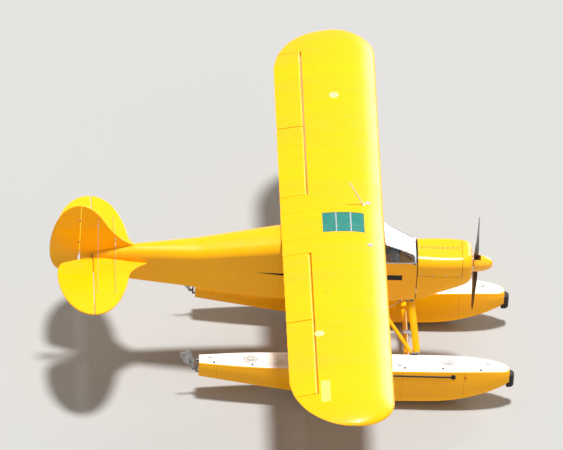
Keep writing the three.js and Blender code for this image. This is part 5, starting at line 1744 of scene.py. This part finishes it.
rims, marks = [], []
gauges = [(y, 1.958, 0.039) for y in (-0.225, -0.125, -0.025, 0.075, 0.175)]
for y, z, radius in (*gauges, (0.262, 1.972, 0.026), (0.262, 1.912, 0.026)):
    rim = [(0, 0)]
    for along, wider in ((0, -0.001), (0, 0.003), (0.006, 0.003), (0.008, 0), (0.003, -0.002)):
        rim.append((along, radius + wider))
    rims.append(lathe("gauge_rim", (*rim, (0.003, 0)), (GAUGE_X, y, z), (-1, 0, 0), 32))
    for degrees in steps(-60, 240, 11):
        marks.append(pointer(y, z, radius, degrees, 0.74, 0.88, 0.0018, 0.0006, 0.0042))
    marks.append(pointer(y, z, radius, 20 + 37 * (y * 30 % 5), -0.15, 0.68, 0.0030, 0.0008, 0.0052))
for y, tall in (
    (-0.24, 0.030), (-0.19, 0.030), (-0.14, 0.030), (-0.02, 0.012),
    (0.03, 0.012), (0.08, 0.012), (0.13, 0.012), (0.20, 0.012),
):
    knob = ((0, 0), (0, 0.004), (tall * 0.6, 0.004), (tall * 0.62, 0.009), (tall, 0.008), (tall, 0))
    rims.append(lathe("knob", knob, (GAUGE_X, y, 1.885), (-1, 0, 0), 16))
dress(joined("gauge_rims", rims), panel_black, angle=35)
dress(joined("gauge_marks", marks), white_plastic)

# Seats: foam cushions in hard-wearing grey twill, on light steel tube frames bolted to the floor.
# Each cushion is blown up by a cloth simulation, then drawn in along its sewn channels.
LEAN = math.radians(8)
CLOTH_STEPS = 20
twill = {"Roughness": 0.9, "Sheen_Weight": 0.35, "Sheen_Roughness": 0.5}
seat_cloth, tree, place = finish("seat_cloth", "seat_cloth", **twill)
threads = {"Vector": stretched(tree, place, (1, 1, 1), (0.6, 0.5, 0.785)), "Scale": 170.0, "Distortion": 0.6}
waves = [node(tree, "TexWave", threads, bands_direction=way).outputs["Fac"] for way in "XY"]
woven = calc(tree, "MULTIPLY", *waves)
faded = ramp(tree, noise(tree, place, 6.0, 5.0), 0.35, 0.65)
tone = mixed(tree, faded, colour(62, 65, 70), colour(84, 86, 90))
tone = mixed(tree, ramp(tree, woven, 0.0, 0.6, 0.0, 0.5), tone, colour(112, 114, 118))
surface(seat_cloth, tone, height=woven, depth=0.0005)


def change(piece, kind, **settings):
    """Applies a modifier with its settings."""
    take(piece)
    modifier = piece.modifiers.new(kind, kind)
    for setting, value in settings.items():
        setattr(modifier, setting, value)
    bpy.ops.object.modifier_apply(modifier=modifier.name)


def stuffed(name, low, high, turn, channels, cap=0.024):
    """A cushion between two corners, blown up, capped, and sewn along channels at places across it."""
    low, high = Vector(low), Vector(high)
    inset = Vector((0.012, 0.012, 0.012))
    pad = block(name, low + inset, high - inset, 0.014, 3)
    thin = min(range(3), key=lambda i: (high - low)[i])
    change(pad, "REMESH", mode="VOXEL", voxel_size=0.007)
    before = [v.co.copy() for v in pad.data.vertices]
    cloth = pad.modifiers.new("cloth", "CLOTH")
    cloth.settings.use_pressure = True
    cloth.settings.uniform_pressure_force = 4
    cloth.settings.effector_weights.gravity = 0
    cloth.point_cache.frame_end = CLOTH_STEPS
    for step in range(1, CLOTH_STEPS + 1):
        bpy.context.scene.frame_set(step)
    bpy.ops.object.modifier_apply(modifier=cloth.name)
    bpy.context.scene.frame_set(1)
    middle, half = (low + high) / 2, (high - low) / 2
    for vertex, start in zip(pad.data.vertices, before):
        move = vertex.co - start
        if move.length > cap:
            vertex.co = start + move * cap / move.length
        off = vertex.co - middle
        if abs(off[thin]) > half[thin] * 0.5:
            for channel in channels:
                pull = 0.006 * math.exp(-(((off.y - channel) / 0.007) ** 2))
                vertex.co[thin] -= math.copysign(pull, off[thin])
        seam = 0.0022 * math.exp(-((off[thin] / 0.004) ** 2))
        off[thin] = 0
        vertex.co += off.normalized() * seam
    change(pad, "SUBSURF", levels=1, render_levels=1)
    pad.data.transform(turn)
    return pad


# Seat by seat: back face, top of the cushion, width, and height of the back
for name, x, z, width, back in (
    ("front_seat", 0.700, 1.620, 0.400, 0.560),
    ("rear_seat", 0.020, 1.590, 0.460, 0.500),
):
    half, pan_z = width / 2, z - 0.09 - FIT - 0.012
    sides = (0.020 - half, half - 0.020)
    channels = [half * share for share in (-0.6, -0.2, 0.2, 0.6)]
    flat = ((x + 0.09, -half, z - 0.09), (x + 0.49, half, z), Matrix.Identity(4))
    base = stuffed(name + "_cushion", *flat, channels)
    upright = Matrix.Translation((x + 0.085, 0, z - 0.09)) @ Matrix.Rotation(-LEAN, 4, "Y")
    rest = stuffed(name + "_back", (0, -half, 0.072), (0.08, half, back), upright, channels)
    for pad in (base, rest):
        dress(pad, seat_cloth, replaces=name, angle=60)
    rail = [(x + 0.105, sides[1]), (x + 0.475, sides[1]), (x + 0.475, sides[0]), (x + 0.105, sides[0])]
    tubes = [tube("rail", ((*a, pan_z), (*b, pan_z)), 0.0105) for a, b in zip(rail, [*rail[1:], rail[0]])]
    for leg_x in (x + 0.120, x + 0.460):
        for y in sides:
            tubes.append(tube("leg", ((leg_x, y, FLOOR_Z + 0.004), (leg_x, y, pan_z)), 0.0105))
            foot = (-0.024, -0.016, 0.0035), (0.024, 0.016, 0.008)
            tubes.append(block("foot", *foot, 0.0015, at=(leg_x, y, FLOOR_Z)))
    for y in sides:
        tubes.append(tube("brace", ((x + 0.126, y, FLOOR_Z + 0.03), (x + 0.454, y, pan_z - 0.015)), 0.007))
        path = [upright @ Vector((-0.006, y, up)) for up in (0.03, back - 0.05)]
        tubes.append(tube("back_tube", path, 0.0095))
    tubes.append(tube("back_bow", [upright @ Vector((-0.006, y, back - 0.05)) for y in sides], 0.0095))
    dress(joined(name + "_tubes", tubes), dull_steel, replaces=name + "_frame", angle=40)
    webs, belt = [], ((0.024, 0.0012), (-0.024, 0.0012), (-0.024, -0.0012), (0.024, -0.0012))
    for web_x in steps(x + 0.14, x + 0.44, 5):
        webs.append(strap("web", *[(web_x, y, pan_z + 0.0085) for y in sides], 0.045, 0.003))
    for side in (-1, 1):
        path = []
        for share in steps(0, 1, 10):
            y = side * (half + 0.004 - share * (half - 0.03))
            hit, place, _, _ = base.ray_cast(Vector((x + 0.17, y, z + 0.3)), Vector((0, 0, -1)))
            path.append((x + 0.17, y, place.z + 0.0022 if hit and share > 0.1 else z - 0.055 + share * 0.5))
        webs.append(swept("belt", path, belt))
    dress(joined(name + "_webbing", webs), seat_cloth)
    buckle = (-0.030, -0.035, 0.001), (0.030, 0.035, 0.013)
    dress(block(name + "_buckle", *buckle, 0.003, at=(x + 0.170, 0, path[-1][2])), bare_aluminium)

# Controls: two sticks on one torque tube, rudder pedals, and a throttle rod on the left wall.
# The tubes are welded steel, and the grips and pedals are moulded rubber.
STICK_Z = 1.350
sticks = [tube("torque_tube", ((0.420, 0, STICK_Z), (1.460, 0, STICK_Z)), 0.014, sides=20)]
grips, linkage = [], []
grip = (
    (0, 0), (0, 0.0105), (0.006, 0.0150), (0.03, 0.0135), (0.05, 0.0155), (0.07, 0.0135),
    (0.09, 0.0155), (0.115, 0.0145), (0.124, 0.009), (0.126, 0),
)
# Each stick's foot, knee and head and its grip's foot, as (x, height over the torque tube), and its lean
for knees, (grip_x, grip_up), lean in (
    (((1.420, 0), (1.415, 0.06), (1.380, 0.43)), (1.3895, 0.315), -0.094),
    (((0.600, 0), (0.598, 0.05), (0.590, 0.33)), (0.5935, 0.215), -0.03),
):
    path = [(x, 0, STICK_Z + up) for x, up in knees]
    sticks.append(tube("stick", path, 0.0105, bend=0.02, fore=(0, 1, 0)))
    grips.append(lathe("grip", grip, (grip_x, 0, STICK_Z + grip_up), (lean, 0, 1), 20))
for x in (0.44, 0.60, 1.02, 1.42, 1.445):
    sticks.append(block("yoke", (-0.016, -0.019, -0.020), (0.016, 0.019, 0.018), 0.004, at=(x, 0, STICK_Z)))
dress(joined("control_sticks_tubes", sticks), dull_steel, replaces="control_sticks", angle=40)
# Pedals: fore and aft place, how far each stands from the middle, and half the length of their shaft
for x, out, wide in ((1.70, 0.12, 0.18), (0.92, 0.255, 0.29)):
    for y in (-out, out):
        grips.append(block("pedal", (x - 0.012, y - 0.045, 1.425), (x + 0.002, y + 0.045, 1.490), 0.005))
        linkage.append(tube("pedal_arm", ((x + 0.004, y, 1.327), (x + 0.004, y, 1.485)), 0.007))
    linkage.append(tube("pedal_shaft", ((x + 0.004, -wide, 1.330), (x + 0.004, wide, 1.330)), 0.008))
dress(joined("control_grips", grips), black_rubber, angle=40)
linkage.append(tube("throttle_rod", ((0.62, 0.322, 1.745), (1.74, 0.318, 1.745)), 0.005))
knob = ((-0.014, 0), (-0.012, 0.010), (0, 0.014), (0.012, 0.010), (0.014, 0))
for x in (0.70, 1.28):
    linkage.append(tube("lever", ((x, 0.324, 1.740), (x - 0.012, 0.318, 1.820)), 0.004, fore=(0, 1, 0)))
    linkage.append(lathe("knob", knob, (x - 0.013, 0.316, 1.826), (0, 0, 1), 16))
dress(joined("control_linkage", linkage), dull_steel, angle=40)

# Wing fittings: fuel caps, inspection covers, root fairings, tip lamps, the pitot tube and the control horns.
# They are screwed to doublers over the cloth.
def over_wing(x, y, lift=0.0):
    """A point on the wing's upper skin, and the direction out of it."""
    lead, trail = wing_edges(y)
    chord = lead - trail
    share = (lead - x) / chord
    here, ahead = [wing_height(at, 1, chord, hollow(y)) for at in (share, share - 0.01)]
    out = Vector((here - ahead, 0, 0.01 * chord)).normalized()
    return turn_up @ (Vector((x, y, here)) + out * lift), turn_up.to_3x3() @ out


def cover(name, place, out, radius, edge, proud, sides):
    """A pressed cover sunk into a surface, its rim rolled over an edge."""
    profile = ((-0.006, 0), (-0.006, radius), (0.0008, radius), (0.0018, radius - edge), (proud, 0))
    return lathe(name, profile, place, out, sides)


point, out = over_wing(1.315, 0.57)
cap = (
    (-0.004, 0), (-0.004, 0.046), (0.0015, 0.045), (0.002, 0.036), (0.010, 0.033), (0.013, 0.028), (0.013, 0),
)
tab = [point + out * 0.013 + Vector((x, 0, 0)) for x in (-0.026, 0.026)]
caps = [lathe("fuel_cap", cap, point, out, 32), strap("cap_tab", *tab, 0.007, 0.008, (0, 1, 0))]
both_sides(joined("wing_left_caps", caps), bare_aluminium, angle=35)
covers = [cover("cover", *over_wing(x, y), 0.058, 0.003, 0.0020, 32) for x, y in ((0.62, 1.90), (0.60, 4.20))]
for x, y in ((1.10, 2.56), (0.45, 2.46), (0.95, 1.0), (0.60, 3.55), (1.05, 4.40)):
    covers.append(cover("cover", under_wing(x, y), (0, 0, -1), 0.046, 0.003, 0.0020, 28))
both_sides(joined("wing_left_covers", covers), tube_enamel, angle=35, slot="painted_aluminium")
# Two of the covers are painted a pale cream. The covers are real, but the pale tone is a painted highlight,
# set where spots of light lay on the wing.
pale = (colour(253, 228, 150), colour(250, 220, 120))
painted_glint_enamel = plastic_finish("painted_glint_enamel", "painted_aluminium", *pale)
for side, name, x, y in ((1, "left", 0.87, 3.40), (-1, "right", 0.45, 3.03)):
    disc = cover(f"wing_{name}_pale_cover", *over_wing(x, y), 0.075, 0.004, 0.0022, 36)
    disc.data.transform(Matrix.Scale(side, 4, (0, 1, 0)))
    if side < 0:
        disc.data.flip_normals()
    dress(disc, painted_glint_enamel, angle=35)
# A strip of the right wing's cloth in a paler yellow: a painted highlight where a light streak lay on the
# wing.
patch = {"tone": colour(254, 226, 104), "aged": colour(252, 214, 76)}
painted_sheen_fabric = fabric_finish("painted_sheen_fabric", **patch)
rings = []
for y in steps(4.32, 4.84, 12):
    upper = [over_wing(x, y, 0.0007)[0] for x in steps(0.43, 0.57, 6)]
    lower = [over_wing(x, y, -0.002)[0] for x in steps(0.57, 0.43, 6)]
    rings.append([(v.x, -v.y, v.z) for v in upper + lower])
dress(skin("wing_right_patch", rings), painted_sheen_fabric, angle=35)
for side, name in ((1, "left"), (-1, "right")):
    line = ((-0.030, side * 0.371), (1.548, side * 0.371))
    dress(roof_strip(f"wing_root_fairing_{name}", *line, 0.040), cowl_enamel)
tip_middle = WING["lead"] - BOW_LEAD["depth"]
lens = ((0, 0), (0, 0.013), (0.010, 0.013), (0.020, 0.010), (0.026, 0.005), (0.028, 0))
socket = ((-0.012, 0), (-0.012, 0.019), (0.001, 0.0165), (0.001, 0))
lens_red = plastic_finish("lens_red", "tinted_glass", colour(190, 24, 18), colour(150, 20, 16), 0.1)
lens_green = plastic_finish("lens_green", "tinted_glass", colour(20, 150, 80), colour(18, 120, 66), 0.1)
for side, name, lens_colour in ((1, "left", lens_red), (-1, "right", lens_green)):
    tip = turn_up @ Vector((tip_middle, WING["tip"] - 0.004, WING["z"] + 0.002))
    tip.y *= side
    dress(lathe(f"tip_lamp_{name}", lens, tip, (0.25, side, 0), 20), lens_colour, angle=60)
    dress(lathe(f"tip_lamp_base_{name}", socket, tip, (0.25, side, 0)), bare_aluminium)
root = under_wing(1.40, 2.95)
pitot = [swept("mast", [root + Vector((0, 0, z)) for z in (0.01, -0.17)], streamlined(0.032, 0.010, 14))]
for x, z, radius in ((0.19, -0.168, 0.0055), (0.12, -0.150, 0.0045)):
    pitot.append(tube("tube", [root + Vector((at, 0, z)) for at in (-0.02, x)], radius))
dress(joined("pitot_tubes", pitot), bare_aluminium)
for name, y in (("aileron", 2.95), ("flap", 1.05)):
    top = turn_up @ Vector((0.300, y, WING["z"] + 0.012))
    foot = [top + Vector((x, 0, -0.0085)) for x in (-0.05, 0.035)]
    horn = [
        strap("horn", top, top - Vector((-0.012, 0, 0.085)), 0.030, 0.004),
        strap("horn_foot", *foot, 0.030, 0.003, (0, 1, 0)),
        *bolt(top - Vector((-0.011, 0, 0.075)), (0, 1, 0), 0.006, 0.014),
    ]
    both_sides(joined(name + "_left_horn", horn), dull_steel, name + "_left")

# Tail fittings: stainless brace wires, the steel horns that the control cables pull, and the tail lamp.
# Trim plates and cable guards are screwed to the fuselage's sides.
wires = []
for side in (-1, 1):
    for x, high, low in ((-2.60, 2.12, 1.475), (-2.88, 2.46, 1.500)):
        wires += wire((x, side * 0.016, high), (x, side * 1.02, 1.788), 0.0026, 0.08)
        wires += wire((x, side * 0.062, low), (x, side * 1.02, 1.752), 0.0026, 0.08)
dress(joined("tail_brace_wires", wires), bright_wire)
horns = []
for y in (-0.082, 0.082):
    horns.append(strap("horn", *[(ELEVATOR_X, y, z) for z in (1.68, 1.86)], 0.026, 0.004))
dress(joined("elevator_horns", horns), dull_steel, "elevators")
parts = [strap("horn", *[(RUDDER_X - 0.004, y, 1.535) for y in (-0.095, 0.095)], 0.026, 0.004)]
for z in (1.60, 2.02, 2.42):
    parts.append(pin("hinge", 0.0165, -0.014, 0.014, (RUDDER_X, 0, z), (0, 0, 1), 16))
dress(joined("rudder_fittings", parts), dull_steel, "rudder")
lamp = ((-0.01, 0), (-0.01, 0.013), (0.004, 0.013), (0.012, 0.010), (0.016, 0.004), (0.017, 0))
dress(lathe("tail_lamp", lamp, (-3.606, 0, 1.93), (-1, 0, 0), 20), white_plastic, "rudder", angle=60)
plates = []
for side in (-1, 1):
    trim, guard = (0, side * 0.158, 0), (0, side * 0.186, 0)
    plates.append(block("trim_plate", (-2.34, -0.003, 1.735), (-2.12, 0.003, 1.805), 0.002, at=trim))
    plates.append(block("cable_guard", (-2.02, -0.006, 1.63), (-1.93, 0.006, 1.65), 0.004, at=guard))
dress(joined("tail_side_plates", plates), cowl_enamel)


# Float fittings: hatches, pump-out caps, mooring cleats, grip strips, a rub rail (its black partly painted
# shade) and the keel strips.
# The metal ones are riveted on, the rubber ones are bonded or pressed in, and the grip strips are painted.
def float_table(x):
    """The float's table of sections at x."""
    return FOREBODY if x >= STEP_X else AFTERBODY


def float_side(x, z):
    """How far across the float's side stands at a height."""
    ring = [(y, level) for _, y, level in hull_section(float_table(x), x)]
    ring = ring[BOTTOM_PIECES : BOTTOM_PIECES + SIDE_PIECES + EDGE_PIECES + 3]
    for (y0, z0), (y1, z1) in zip(ring, ring[1:]):
        if z0 <= z <= z1 and z1 > z0:
            return y0 + (y1 - y0) * (z - z0) / (z1 - z0)
    return ring[-1][0]


def deck_point(x, y=0.0):
    """A point on the deck, y from the float's middle, with the crown's fall."""
    _, _, deck, _, top = between(float_table(x), x, smooth=True)
    return Vector((x, FLOAT_Y + y, deck + DECK_CROWN * (1 - (y / (top - DECK_EDGE)) ** 2)))


# Rub rail: a round black rubber rail along the side below the deck's edge. Its black is painted shade as well
# as rubber: it draws the dark line of shade under the deck's edge.
RAIL_Z = 0.570
rings = []
for x in steps(1.20, 2.65, 30):
    y = float_side(x, RAIL_Z)
    ring = []
    for out, up in arc(0, 0, 1, 1, 90, -90, 8):
        ring.append((x, y - 0.004 + 0.016 * max(out, 0), RAIL_Z + 0.014 * up))
    rings.append(ring)
port = (
    (-0.006, 0), (-0.006, 0.040), (0.004, 0.040), (0.008, 0.034), (0.009, 0.026), (0.006, 0.024), (0.006, 0),
)
marker = ((-0.004, 0), (-0.004, 0.020), (0.003, 0.020), (0.006, 0.015), (0.007, 0))
outward = (0, 1, 0.12)
rail = [skin("rub_rail", rings), lathe("port", port, (2.69, float_side(2.69, RAIL_Z), RAIL_Z), outward, 28)]
both_sides(joined("float_left_rub_rail", rail), black_rubber, angle=40)
orange = plastic_finish("orange_lens", "white_plastic", colour(226, 92, 16), colour(190, 76, 16), 0.2)
marker = lathe("float_left_marker", marker, (2.88, float_side(2.88, 0.560), 0.560), outward)
both_sides(marker, orange, angle=50)
hatch_rings, hatch_lids, pumps, cleats, grips, keel = [], [], [], [], [], []
hatch_ring = ((-0.004, 0.086), (-0.004, 0.112), (0.003, 0.110), (0.005, 0.098), (0.004, 0.088))
hatch_lid = ((-0.003, 0), (-0.003, 0.087), (0.004, 0.086), (0.0055, 0.080), (0.003, 0.072), (0.003, 0))
for x in (-0.45, 0.62, 1.42, 2.62):
    here = deck_point(x)
    hatch_rings.append(lathe("hatch_ring", hatch_ring, here, (0, 0, 1), 40))
    hatch_lids.append(lathe("hatch_lid", hatch_lid, here, (0, 0, 1), 40))
    hatch_lids.append(block("hatch_grip", (-0.045, -0.008, 0.002), (0.045, 0.008, 0.009), 0.003, at=here))
pump = (
    (-0.004, 0), (-0.004, 0.017), (0.002, 0.017), (0.003, 0.012), (0.009, 0.0145), (0.016, 0.012),
    (0.020, 0.006), (0.021, 0),
)
for x in steps(-1.02, 3.12, 7):
    top = between(float_table(x), x, smooth=True)[4]
    pumps.append(lathe("pump_cap", pump, deck_point(x, min(0.150, top - 0.045)), (0, 0, 1), 18))
for x, y in ((-1.08, 0.0), (0.36, 0.10), (1.86, 0.10), (3.24, 0.0)):
    here = deck_point(x, y)
    cleats.append(block("cleat_base", (-0.035, -0.013, -0.002), (0.035, 0.013, 0.005), 0.003, at=here))
    leg = ((0, 0), (0, 0.007), (0.030, 0.006), (0.030, 0))
    for dx in (-0.018, 0.018):
        cleats.append(lathe("cleat_leg", leg, here + Vector((dx, 0, 0.002)), (0, 0, 1), 12))
    horn = ((-0.060, 0.035), (-0.03, 0.032), (0.03, 0.032), (0.060, 0.035))
    path = [here + Vector((dx, 0, dz)) for dx, dz in horn]
    sections = [circle(radius, 12) for radius in (0.004, 0.0075, 0.0075, 0.004)]
    cleats.append(swept("cleat_horn", path, sections, (0, 1, 0)))
for x0, x1, y0, y1 in (
    (0.86, 1.26, -0.17, 0.17),
    (1.58, 1.80, -0.17, 0.05),
    (2.22, 2.44, -0.16, 0.16),
    (-0.10, 0.14, -0.15, 0.15),
):
    rings = []
    for x in steps(x0, x1, 3):
        upper = [deck_point(x, y) + Vector((0, 0, 0.0016)) for y in steps(y0, y1, 8)]
        lower = [deck_point(x, y) - Vector((0, 0, 0.003)) for y in steps(y1, y0, 8)]
        rings.append(upper + lower)
    grips.append(skin("grip_strip", rings))
strip = ((-0.013, 0), (-0.008, 0), (0.008, 0), (0.013, 0), (0.013, 0.014), (-0.013, 0.014))
for x0, x1, count in ((STEP_X + 0.01, BOW_X - 0.02, 40), (STERN_X + 0.03, STEP_X - 0.02, 24)):
    rings = []
    for x in steps(x0, x1, count):
        z = between(float_table(x), x, smooth=True)[0]
        rings.append([(x, FLOAT_Y + dy, z + dz) for dy, dz in strip])
    keel.append(skin("keel_strip", rings))
# Pale non-slip paint, full of grit
deck_grit, tree, place = finish("deck_grit", "painted_aluminium", Roughness=0.9)
grit = noise(tree, place, 240.0, 3.0, 0.8)
tread = ramp(tree, noise(tree, place, 8.0, 5.0), 0.4, 0.65)
tone = mixed(tree, tread, colour(228, 222, 214), colour(206, 200, 190))
tone = mixed(tree, ramp(tree, grit, 0.45, 0.6, 0.0, 0.4), tone, colour(176, 170, 160))
surface(deck_grit, tone, height=grit, depth=0.0012)
for name, pieces, material in (
    ("hatch_rings", hatch_rings, bare_aluminium),
    ("hatch_lids", hatch_lids, deck_pale),
    ("pump_caps", pumps, black_rubber),
    ("cleats", cleats, bare_aluminium),
    ("grip_strips", grips, deck_grit),
    ("keel_strips", keel, bare_aluminium),
):
    both_sides(joined("float_left_" + name, pieces), material, angle=40)

# Boarding steps and the venturi: a steel tread clamped to each front strut, and a spun aluminium venturi.
# The venturi stands off the boot cowl's left side on a foot.
tread = FRONT_STRUT[0].lerp(FRONT_STRUT[1], 0.55)
brace_end = FRONT_STRUT[0].lerp(FRONT_STRUT[1], 0.66) + Vector((-0.035, 0, 0))
parts = [
    block("tread", (-0.17, -0.045, -0.006), (-0.045, 0.045, 0.0), 0.003, at=tread),
    tube("tread_arm", (tread + Vector((-0.15, 0, -0.008)), tread + Vector((-0.03, 0.0, -0.010))), 0.009),
    tube("tread_brace", (tread + Vector((-0.13, 0, -0.012)), brace_end), 0.006),
]
both_sides(joined("boarding_tread_left", parts), dull_steel)
throat = (
    (0, 0.030), (0.010, 0.031), (0.05, 0.017), (0.075, 0.015), (0.16, 0.027), (0.162, 0.025), (0.075, 0.012),
    (0.05, 0.013), (0.012, 0.027), (0, 0.030),
)
venturi = [
    lathe("venturi", throat, (1.80, 0.412, 1.62), (-1, 0, 0), 28),
    block("venturi_foot", (1.70, 0.361, 1.606), (1.75, 0.397, 1.634), 0.004),
]
dress(joined("venturi_tube", venturi), bare_aluminium, angle=40)

low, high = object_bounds()
